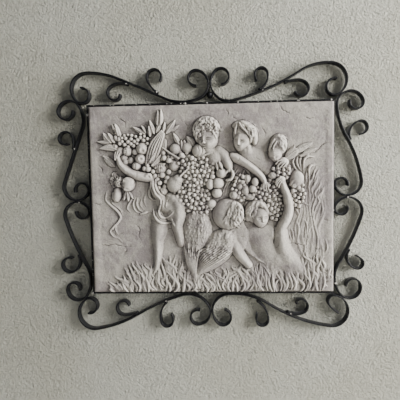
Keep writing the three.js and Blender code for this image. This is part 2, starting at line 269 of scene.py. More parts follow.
def scales(mass, pitch, rise, turn, seed, top=8):
    """Rows of small overlapping feathers over a form, their tips towards turn."""
    g = np.random.default_rng(seed)
    line = curve(mass, 8)
    ux, uz = np.cos(np.radians(turn)), np.sin(np.radians(turn))
    layer = blank()
    x0, x1 = (line[:, 0] - line[:, 2]).min(), (line[:, 0] + line[:, 2]).max()
    z0, z1 = (line[:, 1] - line[:, 2]).min(), (line[:, 1] + line[:, 2]).max()
    cx, cz, reach = (x0 + x1) / 2, (z0 + z1) / 2, max(x1 - x0, z1 - z0) * 0.8
    n = int(reach / pitch) + 1
    for row in range(-n, n + 1):
        for col in range(-n, n + 1):
            along = row * pitch * 0.9 + g.uniform(-0.3, 0.3) * pitch
            across = (col + 0.5 * (row % 2)) * pitch + g.uniform(-0.3, 0.3) * pitch
            px, pz = cx + along * ux - across * uz, cz + along * uz + across * ux
            if (np.hypot(px - line[:, 0], pz - line[:, 1]) / (line[:, 2] * 0.93)).min() > 1:
                continue
            size, high = pitch * g.uniform(0.5, 0.68), rise * g.uniform(0.4, 1.2)
            px, pz = placed(px, pz, top)
            area = window(px, pz, size * 1.6)
            dx, dz = X[area] - px, Z[area] - pz
            s, w = (dx * ux + dz * uz) / (size * 1.5), (-dx * uz + dz * ux) / size
            r2 = s * s + w * w
            body = high * np.clip(1 - r2, 0, 1) ** 0.6 * (0.6 + 0.4 * np.clip(s, -1, 1))
            layer[area] = np.maximum(layer[area], body)
    add(layer)


def leaf(x1, z1, x2, z2, width, top, rib=0.7, veins=4, curl=0.0):
    """Leaf from base to tip: a bowed blade with a midrib and side veins."""
    x1, z1 = placed(x1, z1, top * 0.6)
    x2, z2 = placed(x2, z2, top * 0.6)
    length = np.hypot(x2 - x1, z2 - z1)
    area = window((x1 + x2) / 2, (z1 + z2) / 2, length / 2 + width)
    ex, ez = (x2 - x1) / length, (z2 - z1) / length
    dx, dz = X[area] - x1, Z[area] - z1
    s = (dx * ex + dz * ez) / length
    w = -dx * ez + dz * ex
    w = w - curl * width * np.sin(np.pi * np.clip(s, 0, 1))
    half = width / 2 * np.clip(np.sin(np.pi * np.clip(s, 0, 1) ** 0.8), 0, 1) ** 0.8
    t = np.where(half > 0.05, w / np.maximum(half, 0.05), 9)
    body = top * (0.5 + 0.5 * np.sqrt(np.clip(1 - np.abs(t) ** 2.0, 0, 1)))
    body += rib * np.exp(-((w / 0.7) ** 2)) - 0.5 * rib * np.exp(-(((np.abs(w) - 1.4) / 0.7) ** 2))
    if veins:
        phase = s * veins * 2 - np.abs(t) * 1.2
        body += 0.25 * np.cos(2 * np.pi * phase) * np.clip(1 - np.abs(t), 0, 1)
    ok = (np.abs(t) < 1) & (s > 0) & (s < 1)
    lift(area, np.where(ok, body, -99), 0.3)


def grapes(places, r, seed):
    """Grapes crowded over several ovals (x, z, rx, rz, low, high), with deep gaps between them."""
    g = np.random.default_rng(seed)
    kept = []
    x0, x1 = min(p[0] - p[2] for p in places), max(p[0] + p[2] for p in places)
    z0, z1 = min(p[1] - p[3] for p in places), max(p[1] + p[3] for p in places)
    for layer, (gap, sunk) in enumerate(((1.82, 0.0), (1.15, 3.4))):
        for _ in range(int((x1 - x0) * (z1 - z0) * 0.9)):
            x, z = g.uniform(x0, x1), g.uniform(z0, z1)
            best = -1.0
            for px, pz, rx, rz, low, high in places:
                q = 1 - ((x - px) / rx) ** 2 - ((z - pz) / rz) ** 2
                if q > 0:
                    best = max(best, low + (high - low) * q**0.5)
            if best < 0:
                continue
            size = r * g.uniform(0.84, 1.12)
            if any((x - a) ** 2 + (z - b) ** 2 < (gap * (size + s) / 2) ** 2 for a, b, s in kept):
                continue
            kept.append((x, z, size))
            oval(x, z, size, size, best - sunk + g.uniform(-0.9, 0.9), size * 1.6, 0, 0.1)


def crack(points, width, depth, seed):
    """Ragged hairline crack, dark inside."""
    g = np.random.default_rng(seed)
    rough = [(x + g.uniform(-0.9, 0.9), z + g.uniform(-0.9, 0.9)) for x, z in curve(points, 7)]
    layer = blank()
    stroke(layer, rough, width, 1.0, (0.3, 0.2), 1.0, 4)
    H[:] -= layer * depth
    np.maximum(STAIN, layer, out=STAIN)


def dent(x, z, r, depth, rise=8):
    """Small pit with a raised rim, such as an apple's eye."""
    x, z = placed(x, z, rise * 0.6)
    area = window(x, z, r * 3)
    d = np.hypot(X[area] - x, Z[area] - z)
    H[area] -= depth * np.exp(-((d / r) ** 2)) - 0.3 * depth * np.exp(-(((d - r * 1.7) / (r * 0.5)) ** 2))


def seam(points, width, depth, rise=8):
    layer = blank()
    stroke(layer, [placed(x, z, rise * 0.6) for x, z in points], width, depth, (0.4, 0.4))
    H[:] -= layer


def hand(x, z, r, top, fingers):
    """Back of a hand with its fingers, each a path of x, z."""
    oval(x, z, r, r * 0.85, top, top * 0.7)
    for path in fingers:
        rows = [(px, pz, 2.1 - 0.5 * i / len(path), top + 0.3 - 1.6 * i / len(path)) for i,
                (px, pz) in enumerate(path)]
        flow(rows, 0.5, 0.2)

# ------------------------------------------------ background in low relief
def background():
    """Growth, ribbon and tendrils that hardly leave the field."""
    g = np.random.default_rng(11)
    layer = blank()
    # long wavy growth up the right side, like tongues of flame
    for i in range(13):
        foot = 146 + 3.2 * i + g.uniform(-1, 1)
        low = -112 + g.uniform(-8, 16)
        crest = 40 - 3.6 * abs(i - 6) - (16 if i > 10 else 0) + g.uniform(-10, 8)
        phase = 0.5 * i
        pts = []
        for k in range(14):
            f = k / 13
            lean = 9 * np.clip(f - 0.5, 0, 1) ** 1.2 - 5 * np.sin(np.pi * f)
            pts.append((min(foot + lean + 3.4 * np.sin(phase + f * 11.0), 191), low + (crest - low) * f))
        cut = g.integers(0, 5)
        stroke(layer, pts[cut:], g.uniform(3.8, 5.6), g.uniform(0.8, 1.6), (0.15, 0.1), 1.0, 4)
    for i in range(18):
        x0, z0 = g.uniform(146, 184), g.uniform(-108, 10)
        length, bow = g.uniform(20, 36), g.uniform(2.5, 5.5)
        pts = [(x0 + bow * np.sin(3.4 * k / 4 + 0.4) + 1.0 * k, z0 + length * k / 4) for k in range(5)]
        stroke(layer, pts, g.uniform(2.8, 4.2), g.uniform(0.8, 1.6), (0.2, 0.15), 1.0, 4)
    for i in range(4):
        x0 = 160 + i * 5.0
        stroke(layer, [(x0 + 9, 46 - 9 * i), (x0 + 6, 34 - 8 * i), (x0 - 1, 20 - 6 * i), (x0 + 1, 6 - 4 * i),
                       (x0 - 6, -12 - 3 * i)],
               4.4, 1.9, (0.2, 0.2), 1.0)
    for pts, w, h in (([(139, -36), (143, -48), (142, -62), (139, -78)], 4.5, 2.4),
                      ([(131, -50), (134, -60), (133, -74)], 4.0, 1.6),
                      ([(127, -56), (130, -66), (129, -76)], 3.0, 1.4),
                      ([(148, -30), (156, -42), (156, -58), (151, -76)], 4.0, 1.9),
                      ([(170, -38), (160, -52), (157, -66)], 3.4, 1.6),
                      ([(146, 2), (152, -8), (160, -12), (170, -10)], 3.6, 1.8),
                      ([(136, -14), (142, -24), (146, -40)], 3.4, 1.5)):
        stroke(layer, pts, w, h, (0.35, 0.15), 0.9)
    # ribbon on the left
    stroke(layer, [(-173, 15), (-175, 2), (-168, -7), (-158, -16), (-151, -27), (-155, -36), (-164, -45),
                   (-169, -52), (-164, -60), (-155, -64), (-149, -71)], 4.8, 3.0, (0.4, 0.1), 0.85)
    stroke(layer, [(-168, 4), (-163, -6), (-152, -15), (-148, -25)], 3.2, 1.6, (0.2, 0.3), 0.9)
    stroke(layer, [(-158, -40), (-160, -48), (-156, -58)], 2.8, 2.0, (0.2, 0.2))
    stroke(layer, [(-154, -38), (-163, -46), (-163, -54)], 2.4, 1.6, (0.2, 0.2))
    # tendrils under the arm
    for pts, h in (([(-130, 5), (-134, -2), (-139, -12), (-135, -20)], 2.4),
                   ([(-127, 2), (-129, -8), (-125, -18), (-116, -22)], 2.4),
                   ([(-122, 4), (-123, -6), (-119, -16), (-110, -21)], 2.2),
                   ([(-115, 2), (-117, -8), (-112, -16)], 1.4),
                   ([(-108, 10), (-111, -2), (-107, -12)], 1.2)):
        stroke(layer, pts, 3.6, h, (0.3, 0.3))
    add(layer)
    flow([(-117, -23, 2, 2.4), (-110, -21, 2.4, 3.2), (-107, -20, 1.6, 2.4)])
    for x, z, tx, tz, w, h in ((-141, 14, -145, 0, 6, 3.4), (-139, 14, -137, -2, 6.5, 4.2),
                               (-136, 14, -129, 2, 5, 3.2)):
        leaf(x, z, tx, tz, w, h, 0.7, 0)
    # foliage over the small child on the right
    leaf(122, 64, 147, 81, 15, 3.6, 0.9, 5, 0.05)
    leaf(138, 74, 166, 89, 11, 3.0, 0.8, 4, 0.1)
    leaf(150, 72, 172, 80, 7, 2.4, 0.7, 3)
    leaf(144, 68, 162, 71, 6, 2.6, 0.7, 0)
    leaf(128, 70, 138, 86, 8, 2.4, 0.7, 4)
    layer = blank()
    for pts, w, h in (([(168, 66), (158, 67), (152.5, 63), (151, 55), (151, 36)], 4.6, 4.0),
                      ([(169, 53), (163, 52), (159.5, 47), (160, 36), (160, 18)], 4.6, 3.6),
                      ([(147, 68), (145, 58), (147, 46)], 3.8, 2.6),
                      ([(142, 68), (140, 60), (143, 50), (149, 42)], 3.8, 2.8),
                      ([(137, 66), (134, 58), (138, 48), (148, 38)], 3.8, 2.8),
                      ([(156, 44), (155, 34), (156, 22)], 3.4, 1.8),
                      ([(176, 46), (170, 34), (168, 20)], 3.8, 1.8),
                      ([(172, 50), (167, 38), (165, 24)], 3.4, 1.6)):
        stroke(layer, pts, w, h, (0.35, 0.15), 0.85)
    add(layer)


def grass():
    """Tongues of grass like flames, each laid over the ones behind."""
    g = np.random.default_rng(23)
    tops = [(-200, -158), (-172, -156), (-156, -142), (-138, -126), (-118, -104), (-100, -114), (-84, -108),
            (-70, -97),
            (-54, -104), (-38, -124), (-20, -130), (0, -122), (20, -122), (45, -116), (66, -106), (90, -110),
            (105, -104), (125, -114), (140, -104), (156, -92), (172, -94), (185, -110), (200, -138)]
    tx = [p[0] for p in tops]
    tz = [p[1] for p in tops]
    for row in range(4):
        x = -190.0 + row * 3.1
        while x < 192:
            crest = np.interp(x, tx, tz)
            reach = crest + 156
            base = -154 + reach * (0.58, 0.38, 0.19, 0.0)[row] + g.uniform(-3, 3)
            clump = g.integers(2, 4)
            sway = g.uniform(-1, 1)
            for k in range(clump):
                fan = (k - (clump - 1) / 2) / max(clump - 1, 1) * 2 if clump > 1 else 0
                length = min(g.uniform(0.40, 0.66) * reach + 10, crest + 5 - base) * g.uniform(0.72, 1.0)
                if length < 8:
                    continue
                lean = -3.0 * (1 if x > -90 else 3.0) + 8.0 * sway + 6.5 * fan
                bow = 6.4 * sway + g.uniform(-3.4, 3.4)
                w, h = g.uniform(2.8, 4.6), g.uniform(2.4, 4.6) * (0.75 + 0.1 * row)
                foot = x + 3.6 * fan + g.uniform(-0.8, 0.8)
                pts = []
                for j in range(6):
                    f = j / 5
                    wide = w * (0.4 + 2.3 * f * (1 - f)) * (1 - 0.7 * f**2)
                    pts.append((foot + lean * f**1.4 + bow * np.sin(2 * np.pi * f * 0.8), base + length * f,
                                max(wide, 0.8),
                                h * (0.3 + 0.8 * np.sin(np.pi * min(f * 0.8 + 0.15, 1)))))
                flow(pts, 0.85, 0.8, 3)
            x += g.uniform(11.5, 18.0)


# ------------------------------------------------ figures
def top_child():
    oval(-6, 109, 20.5, 23, 11, 10)
    face(-4, 99, 17, 20.5, 15, -22, -4, -4)
    for i in range(9):
        a = np.radians(20 + i * 22)
        oval(-5.5 + 14.5 * np.cos(a), 112.5 + 15 * np.sin(a), 8.5, 8.5, 9, 6, 0, 2.5)
    oval(-5, 119, 17, 12, 14, 9, 0, 2.0)
    tufts(-5, 112, 23, 22.5, (-3, 142), 210, 9, 3.3, 3.0, 22, 39, (-4, 94, 14, 17), 9)
    tufts(-5, 119, 18, 12, (4, 140), 60, 9, 3.4, 2.2, -30, 40, (-4, 94, 14, 17), 12)
    flow([(-4, 82, 11, 8), (2, 74, 13, 7.5), (8, 66, 13, 9)], 0.8, 2)
    oval(8, 67, 12, 13, 10, 8, 0, 2)
    flow([(14, 78, 9, 7), (22, 70, 10, 9), (28, 60, 8.5, 11), (31, 52, 6, 10.5), (31, 47, 4, 9)], 0.6, 1.5)
    leaf(14, 62, 20, 48, 7, 9.5, 0.8, 3)
    leaf(10, 60, 12, 47, 6, 9.0, 0.8, 3)


def tall_child():
    flow([(56, 84, 10, 8), (58, 76, 12, 8), (66, 68, 17, 7), (80, 62, 17, 5.5), (90, 54, 12, 4)], 1.0, 3)
    oval(56, 106, 18, 19, 11, 10)
    face(52.5, 95, 13.5, 18, 15, -26, -8, -12)
    flow([(62, 84, 6, 9), (63, 76, 7, 8.5)], 0.7, 2)
    # short hair, parted high on the left and falling to the right
    flow([(41, 119, 5, 6.5), (46, 119, 8, 9.5), (54, 118, 10, 12), (62, 115, 10, 12), (68, 108, 9, 10),
          (72, 99, 7, 8.5), (73, 91, 4, 6.5)], 0.7, 2.5)
    tufts(57, 114, 20, 17, (46, 128), 110, 14, 3.6, 2.6, -6, 31, (51, 97, 13, 16.5), 9)
    tufts(70, 104, 9, 18, (58, 126), 36, 13, 3.4, 2.6, -10, 32, (51, 97, 14, 16), 8)
    flow([(44, 121, 2.0, 13.5), (42, 114, 2.2, 13), (41, 106, 1.6, 10)], 0.6, 0.4)
    flow([(48, 123, 2.2, 14.5), (52, 116, 2.4, 16), (58, 110, 2.2, 15.5), (64, 102, 1.6, 13)], 0.6, 0.4)


def right_child():
    oval(112, 88, 14, 17, 11, 10)
    face(106.5, 72, 11, 13.5, 13.5, -24, -24, 8)
    tufts(114, 90, 14, 16, (106, 98), 90, 12, 3.4, 2.5, -14, 33, (105, 73, 11, 13.5), 8)
    flow([(104, 95, 2.6, 11), (100, 88, 2.6, 11), (97.5, 80, 2.2, 9), (97.5, 73, 1.8, 8)], 0.6, 0.3)
    flow([(108, 92, 2.4, 13), (104, 86, 2.4, 13), (102, 80, 1.8, 12)], 0.6, 0.3)
    flow([(99, 62, 7, 4), (97, 52, 7, 4), (93, 44, 6, 3)], 1.0, 2)


def far_child():
    oval(141, 28, 11.5, 17, 9, 8)
    oval(142, 33, 10, 10, 9.6, 6, 0, 2.5)
    flow([(131, 22, 3, 7), (134, 28, 3, 8.6), (138, 30, 2.6, 9.4)], 0.6, 1.0)


def striding_child():
    # hips, thighs and legs
    flow([(-86, 6, 9, 5), (-78, -6, 13, 6.5), (-68, -14, 17, 7), (-60, -26, 15, 7)], 1.1, 3)
    flow([(-68, 2, 10, 7), (-57, -4, 13, 9), (-53.5, -16, 13, 10), (-54, -30, 12, 10), (-56.5, -43, 10.5, 9),
          (-54, -55, 9, 8.5),
          (-51.5, -66, 8.5, 8), (-50.5, -73, 7, 6)], 1.05, 3.5)
    flow([(-89, -28, 12, 4), (-87.5, -40, 14.5, 7), (-88, -54, 13.5, 8.5), (-90, -68, 10.5, 7.5),
          (-89.5, -84, 8.5, 7.5), (-90.5, -100, 7, 6.5),
          (-93, -114, 5, 4.5), (-98, -124, 3, 2.5)], 1.15, 2.5)
    # cloth
    flow([(-97, 34, 4, 6), (-94, 24, 8, 7), (-89, 12, 9, 7.5), (-82, 2, 8, 8)], 0.8, 2)
    paths = (([(-98, 34), (-99, 24), (-103, 14), (-101, 4), (-95, 0), (-88, 0)], 2.4, 3.0),
             ([(-95, 34), (-95, 22), (-91, 10), (-84, 2), (-82, -8)], 2.4, 2.8),
             ([(-91, 34), (-90, 22), (-85, 12), (-77, 4)], 2.2, 2.4),
             ([(-87, 30), (-84, 20), (-78, 10), (-68, 6)], 2.0, 1.6),
             ([(-99, 18), (-97, 10), (-95, 4)], 1.6, 1.8),
             ([(-82, 0), (-83, -8), (-87, -18), (-84, -27), (-77, -30), (-69, -27), (-62, -20)], 2.4, 3.6),
             ([(-78, 0), (-79, -8), (-80, -16)], 2.0, 2.0),
             ([(-72, 0), (-74, -8), (-73, -14)], 1.8, 1.4),
             ([(-97, -16), (-94, -27), (-86, -36), (-76, -39), (-66, -38), (-60, -43)], 2.4, 3.4),
             ([(-92, -18), (-89, -26), (-84, -33)], 1.8, 1.8),
             ([(-66, -30), (-64, -36), (-60, -42)], 2.2, 2.4))
    for path, r, rise in paths:
        layer = blank()
        stroke(layer, [placed(x, z, 4) for x, z in path], r * 2, rise, (0.4, 0.3), 0.85, 6)
        add(layer)
    hollow = blank()
    stroke(hollow, [(-80, -20), (-74, -22), (-68, -18)], 9, 3.0, (0.6, 0.6), 1.2)
    H[:] -= hollow
    # head bent down under the arm, with curly hair
    oval(-150, 30, 10, 9, 6.5, 6)
    face(-138, 26, 11, 12.5, 12, -10, -34, -24)
    oval(-137, 31, 9.5, 8, 12.6, 6, 0, 2)
    curls(-158, 34, 9, 11, 4, 3.6, 24, 0, 9, 3.0)
    curls(-148, 34, 6, 5, 6, 3.0, 8, 0, 4, 1.4)
    flow([(-156, 16, 6, 7), (-157, 8, 7, 8), (-158, 3, 6, 6.5)], 0.55, 1)
    flow([(-162, 12, 3, 5), (-163, 4, 3, 4)], 0.7, 1)


def striding_arm():
    flow([(-152, 70, 4, 8), (-150, 62, 6, 9.5), (-142, 52, 7, 11), (-130, 44, 7.6, 12), (-118, 40, 7.8, 12),
          (-106, 37.5, 7.8, 11),
          (-100, 36, 6.5, 9)], 0.65, 1.0)
    for path in ([(-153, 70), (-150, 76), (-147, 81)], [(-155, 70), (-153, 77), (-152, 82)],
                 [(-157, 68), (-157, 75), (-156, 80)]):
        flow([(x, z, 2.3 - 0.4 * i, 9 - 1.0 * i) for i, (x, z) in enumerate(path)], 0.5, 0.3)
    flow([(-106, 40, 4, 12), (-101, 42, 3, 11), (-98, 38, 3, 10)], 0.5, 0.5)
    seam([(-122, 48), (-121, 41), (-123, 34)], 2.0, 0.5)


def tall_arm():
    flow([(36, 70, 6.5, 8.5), (43, 67, 8, 10.5), (54, 61, 7.8, 11.5), (66, 52.5, 7, 12), (76, 44, 6.2, 12),
          (85, 34, 5.4, 11.5),
          (89, 25, 4.8, 10.5)], 0.7, 1.0)
    for path in ([(87, 25), (86, 18), (88, 13)], [(90, 24), (90.5, 17), (92, 11)],
                 [(92.5, 25), (94, 18), (95, 13)]):
        flow([(x, z, 2.2 - 0.4 * i, 10.2 - 1.2 * i) for i, (x, z) in enumerate(path)], 0.5, 0.2)
    layer = blank()
    for pts in ([(52, 51), (60, 46), (65, 36), (67, 26), (65, 19)], [(57, 48), (53, 42), (51, 36)],
                [(48, 52), (38, 38), (28, 22), (22, 2)], [(44, 52), (34, 38), (24, 20), (18, 6)],
                [(52, 46), (44, 34), (36, 20), (32, 12)],
                [(33, 52), (36, 44), (34, 34), (28, 30), (22, 33)]):
        stroke(layer, pts, 3.8, 2.4, (0.3, 0.2), 0.9)
    add(layer)


def reaching_child():
    # shoulders and back, side and hip, soft against the field
    flow([(60, -60, 10, 2.6), (74, -56, 14, 5), (92, -58, 15, 6), (108, -60, 12, 7.5)], 1.1, 4)
    flow([(82, -64, 20, 5.5), (88, -80, 22, 6), (96, -96, 22, 6), (108, -108, 18, 4.5)], 1.1, 4)
    flow([(115, -54, 11.5, 11), (116, -70, 14, 10.5), (119, -86, 15, 9.5), (127, -99, 15, 8),
          (138, -110, 13, 5.5), (150, -121, 8, 2.5)], 1.15, 4)
    seam([(103.5, -47), (103.5, -60), (102.5, -74)], 5.0, 2.2, 7)
    flow([(112, -100, 16, 6.5), (126, -108, 16, 6), (138, -114, 12, 4)], 1.0, 4)
    # folds of cloth to the left
    for i in range(6):
        layer = blank()
        pts = [(43 + 3.0 * i, -55 - 1.2 * i), (48 + 3.2 * i, -70 - 2.2 * i), (58 + 3.6 * i, -86 - 2.6 * i),
               (74 + 4.4 * i, -102 - 1.8 * i)]
        stroke(layer, pts, 5.0, 1.5 - 0.1 * i, (0.25, 0.15), 1.1)
        add(layer)
    oval(73, -21, 17.5, 19.5, 8.5, 8)
    face(81.5, -31, 13.5, 18, 13.5, 14, -6, 4)
    flow([(61, -32, 6, 6.5), (63, -20, 7, 9), (69, -11, 7.5, 11), (79, -9, 7.5, 11.5), (88, -14, 6, 10),
          (93, -24, 4, 7.5)], 0.8, 2.5)
    tufts(73, -18, 19, 20, (78, 0), 120, 12, 3.4, 2.1, 10, 34, (82.5, -33, 12, 16), 7)


def reaching_arm():
    flow([(117, 26, 6.4, 11), (120, 17, 6.6, 12), (124.5, 6, 7.6, 13), (127.5, -8, 8.6, 14),
          (127.5, -20, 9, 14), (124, -33, 9.2, 13.5),
          (117, -46, 8.6, 11.5), (114, -56, 7.5, 10)], 0.65, 1.5)
    hand(116, 31, 6.5, 12.5, ([(114, 35), (109, 31), (106, 26)], [(113, 32), (108.5, 28), (106.5, 23)],
                              [(113.5, 29), (109.5, 25), (108, 20.5)], [(115, 27), (112, 22.5), (111, 18.5)]))


def winged_child():
    flow([(42, -46, 13, 4.5), (46, -60, 15, 4.5), (44, -78, 12, 4.5)], 0.35, 5)
    oval(28.5, -25.5, 26, 26, 12.5, 12)
    oval(38, -24, 16, 20, 13.5, 8, 0, 4)
    # hair: smooth on the left, full locks on the right
    tufts(41, -25, 14, 26, (44, 40), 120, 15, 4.2, 2.4, 0, 35, None, 8)
    tufts(46, -28, 10, 22, (30, 20), 50, 12, 4.0, 2.4, 0, 36, None, 8)
    tufts(28, -34, 9, 12, (50, -10), 14, 11, 4.0, 1.8, 0, 38, None, 8)
    # left wing, crisp on its right side and sinking into the field on its left
    flow([(-24, -38, 21, 7), (-24.5, -54, 24.5, 7.5), (-28, -72, 21, 6.5), (-32, -92, 15, 5),
          (-30, -112, 12, 4.2), (-26, -134, 7, 3)], 0.7, 2)
    flow([(-15, -36, 13, 9), (-15.5, -50, 17, 10), (-19, -64, 16, 9.5), (-25, -78, 12, 8)], 0.8, 3)
    quills([((-46 + 3.7 * i, -73 - 0.6 * i - 7 * (i % 2)), (-41 + 2.0 * i, -106 - 1.2 * i),
             (-34 + 1.1 * i, -124 - 3.4 * min(i, 5))) for i in range(8)], 3.8, 2.9)
    scales([(-22, -36, 18), (-21, -52, 23), (-25, -68, 21), (-29, -82, 15)], 4.0, 2.2, -100, 37)
    # right wing, raised over the left one
    flow([(22, -66, 17, 10), (12, -80, 25, 11.5), (-1, -97, 20, 10), (-12, -112, 11, 7.5),
          (-21, -122, 4.5, 5)], 0.6, 1.5)
    flow([(27, -64, 13, 11.5), (24, -78, 17, 13), (14, -90, 14, 11.5)], 0.9, 3)
    quills([((37 - 4.6 * i, -85 + 0.7 * i), (14 - 4.0 * i, -101 + 1.4 * i),
             (-12 - 1.4 * i, -116 + 1.6 * i)) for i in range(10)], 4.2, 3.6)
    scales([(24, -64, 17), (18, -74, 21), (6, -82, 17)], 4.6, 2.7, -140, 31)
    flow([(37, -73, 8, 8), (41, -83, 9.5, 10), (47, -93, 9, 10), (54, -102, 8, 9.5), (61.5, -110, 6.5, 8)],
         0.6, 2.5)


def quills(lines, width, rise):
    """Long feathers side by side: rounded ridges."""
    layer = blank()
    for points in lines:
        path = [placed(x, z, 5) for x, z in points]
        stroke(layer, path, width, rise, (0.25, 0.2), 0.7, 8)
    add(layer)


# ------------------------------------------------ fruit
def fruit():
    leaf(-163, 95, -176, 112, 11.7, 5.2, 0.9, 4, 0.1)
    leaf(-160, 97, -168, 112, 7.8, 5.8, 0.8, 3)
    leaf(-166, 95, -187, 98, 6.5, 4.6, 0.8, 3)
    leaf(-154, 84, -183, 86, 10.4, 5.8, 0.8, 4, -0.3)
    leaf(-158, 56, -178, 75, 11.7, 2.8, 0.7, 4)
    leaf(-150, 106, -156, 127, 8.5, 6.3, 0.8, 0)
    leaf(-155, 112, -161, 126, 5.2, 5.1, 0.8, 0)
    leaf(-147, 104, -150, 118, 3.9, 5.2, 0.6, 0)
    dent(-158, 114, 2.6, 3, 4)
    leaf(-106, 108, -127, 121, 7.2, 4.6, 0.9, 3)
    leaf(-105, 110, -112, 123, 5.2, 4.6, 0.9, 0)
    leaf(-98, 104, -100, 122, 6.5, 5.8, 0.9, 3)
    leaf(-91, 108, -98, 131, 8.5, 5.3, 0.9, 4, 0.1)
    leaf(-86, 122, -84, 147, 7.2, 4.6, 0.9, 0)
    leaf(-80, 122, -79, 149, 7.2, 5.3, 0.9, 0)
    leaf(-88, 110, -80, 128, 7.8, 4.8, 0.9, 3)
    leaf(-77, 110, -73, 128, 5.9, 4.8, 0.9, 3)
    leaf(-72, 108, -56, 131, 9.1, 3.7, 0.9, 4)
    leaf(-64, 112, -50, 122, 6.5, 2.3, 0.6, 3)
    leaf(-50, 90, -60, 110, 7.8, 5.5, 0.8, 3)
    leaf(-46, 82, -47, 98, 5.2, 5.8, 0.8, 0)
    leaf(-42, 88, -42, 98, 6.5, 4.1, 0.6, 0)
    leaf(-26, 88, -38, 104, 11.7, 3.7, 0.7, 4)
    leaf(-97, 56, -81, 74, 10.4, 6.9, 0.8, 4)
    leaf(-92, 52, -74, 60, 10.4, 5.8, 0.8, 4)
    leaf(-100, 62, -90, 78, 7.8, 8.0, 0.8, 3)
    for x, z, rx, rz, top, turn in ((-155, 103, 3.4, 5.2, 6.5, 20), (-150, 101, 3, 4.4, 7, 0),
                                    (-160, 98, 2.6, 4.2, 5.5, 40),
                                    (-156, 89, 3.2, 3.6, 6.5, 0), (-149, 94, 3, 3.4, 7, 0),
                                    (-159, 91, 2.4, 2.4, 5.5, 0)):
        oval(x, z, rx, rz, top, 4.5, turn)
    for x, z, r in ((-141, 92, 3.4), (-135, 96.5, 3.6), (-130, 93, 3.1), (-139, 102, 2.9), (-130, 101, 2.9),
                    (-124.5, 97, 3.2),
                    (-129, 107, 2.6), (-119, 99.5, 3.1), (-122, 105, 2.4), (-114.5, 103, 3.2),
                    (-109.5, 98.5, 3.2), (-135, 88, 2.8),
                    (-126, 90, 2.8), (-141, 107, 2.4), (-145, 97, 2.8), (-114, 109, 2.2), (-108, 105, 2.4),
                    (-135, 108, 2.0),
                    (-145, 103, 2.4), (-120, 93, 2.4), (-103, 101, 2.6), (-103, 93, 2.6)):
        oval(x, z, r, r, 7.5 - 0.03 * abs(x + 127), r * 1.4, 0, 0.1)
    # split ear of corn and its husk
    rib = 5
    for k in range(rib):
        f = k / (rib - 1) - 0.5
        flow([(-98 + 15 * f, 62 + 3 * f, 2.8, 6.5), (-95 + 15 * f, 74 - 4 * f, 3.0, 8.5 - 3 * abs(f)),
              (-88 + 14 * f, 92 - 6 * f, 2.9, 9.5 - 3 * abs(f)),
              (-77 + 4 * f, 111 - 5 * f, 1.6, 7)], 0.6, 0.3)
    for k in range(3):
        flow([(-84 + 3.5 * k, 64 + 2 * k, 2.2, 5), (-80 + 3 * k, 78 + 2 * k, 2.4, 5.5),
              (-74 + 1 * k, 99 - 1 * k, 1.6, 4)], 0.7, 0.3)
    for x, z, r, top in ((-150, 81, 7.5, 7), (-137.5, 81, 7.5, 9.5), (-124, 80, 5, 7.5), (-113, 85, 10, 11),
                         (-116, 68, 8.6, 11), (-123, 57, 7, 9.5), (-143, 70, 5.5, 7), (-141, 64, 5.2, 7),
                         (-132, 66, 5.5, 6), (-104, 57, 3.2, 8),
                         (-103, 51, 4.6, 8.5), (-109, 52, 4, 8), (-95, 47, 3.4, 8), (-92, 40, 3.4, 7.5),
                         (-82, 51, 9, 7.5),
                         (-80, 41, 5, 7), (-77, 77, 3.6, 8), (-76, 69, 4.4, 9), (-68, 65, 4.4, 9.5),
                         (-84, 28, 3.6, 8),
                         (-57, 83, 10, 9.5), (-60, 56, 9.5, 7), (-78, 15, 6.5, 7), (-62, 3, 5.4, 8),
                         (-90, 33, 3, 6),
                         (-74, 30, 3.4, 6.5), (-63, 70, 4, 7), (-72, 36, 4, 6), (-69, 46, 4, 6.5),
                         (-76, 22, 3.6, 6), (-86, 20, 3, 6)):
        oval(x, z, r, r, top, r * 1.05, 0, 0.15)
    oval(-60, 25, 13.5, 13.5, 11.5, 11)
    oval(-54, 33, 9, 8.5, 11.5, 9, 0, 2.5)
    oval(-18, 80, 12, 11.5, 12.5, 11)
    oval(-38, 85, 9, 8.5, 8.5, 8)
    dent(-111, 81.5, 2.6, 2.6, 11)
    dent(-114, 68, 2.4, 2.4, 11)
    dent(-82, 52, 2, 1.6, 7)
    dent(-47, 73, 1.6, 1.6, 8)
    seam([(-16, 90), (-12, 80), (-16, 70)], 2.2, 1.6, 12)
    seam([(-22, 90), (-18, 80), (-22, 70)], 1.6, 0.8, 12)
    seam([(-126, 63), (-123, 57), (-125, 50)], 1.8, 1.2, 9)
    seam([(-141, 88), (-138, 81), (-140, 74)], 1.8, 1.4, 9)
    seam([(-134, 88), (-133, 81), (-134, 74)], 1.2, 0.7, 9)
    for k in range(5):
        seam([(-89 + 3.4 * k, 59), (-88.5 + 3.4 * k, 52), (-89 + 3.4 * k, 44)], 1.3, 1.0, 7)
    grapes([(-28, 40, 22, 28, 6.5, 11), (-30, 2, 21, 24, 5, 9.5), (-46, 66, 14, 12, 6, 8.5),
            (-8, 54, 13, 24, 7, 10.5),
            (-10, -6, 11, 22, 4.5, 8.5), (-47, 6, 14, 20, 5, 8.5), (-66, 72, 12, 10, 4, 7),
            (-90, 42, 9, 16, 3, 6)], 3.4, 5)
    oval(-47, 73, 4.4, 4.4, 10.5, 6)
    oval(-30, 68, 4.0, 4.0, 10.5, 5)
    grapes([(97, -6, 20, 24, 4.5, 8), (107, -16, 13, 20, 4.5, 8), (84, 8, 17, 13, 5.5, 8.5),
            (98, 20, 13, 10, 6, 8.5),
            (116, 44, 16, 13, 6, 9.5), (48, 18, 14, 22, 5, 8.5)], 3.3, 15)
    grapes([(141, 3, 13, 17, 5.5, 8.5)], 3.5, 16)
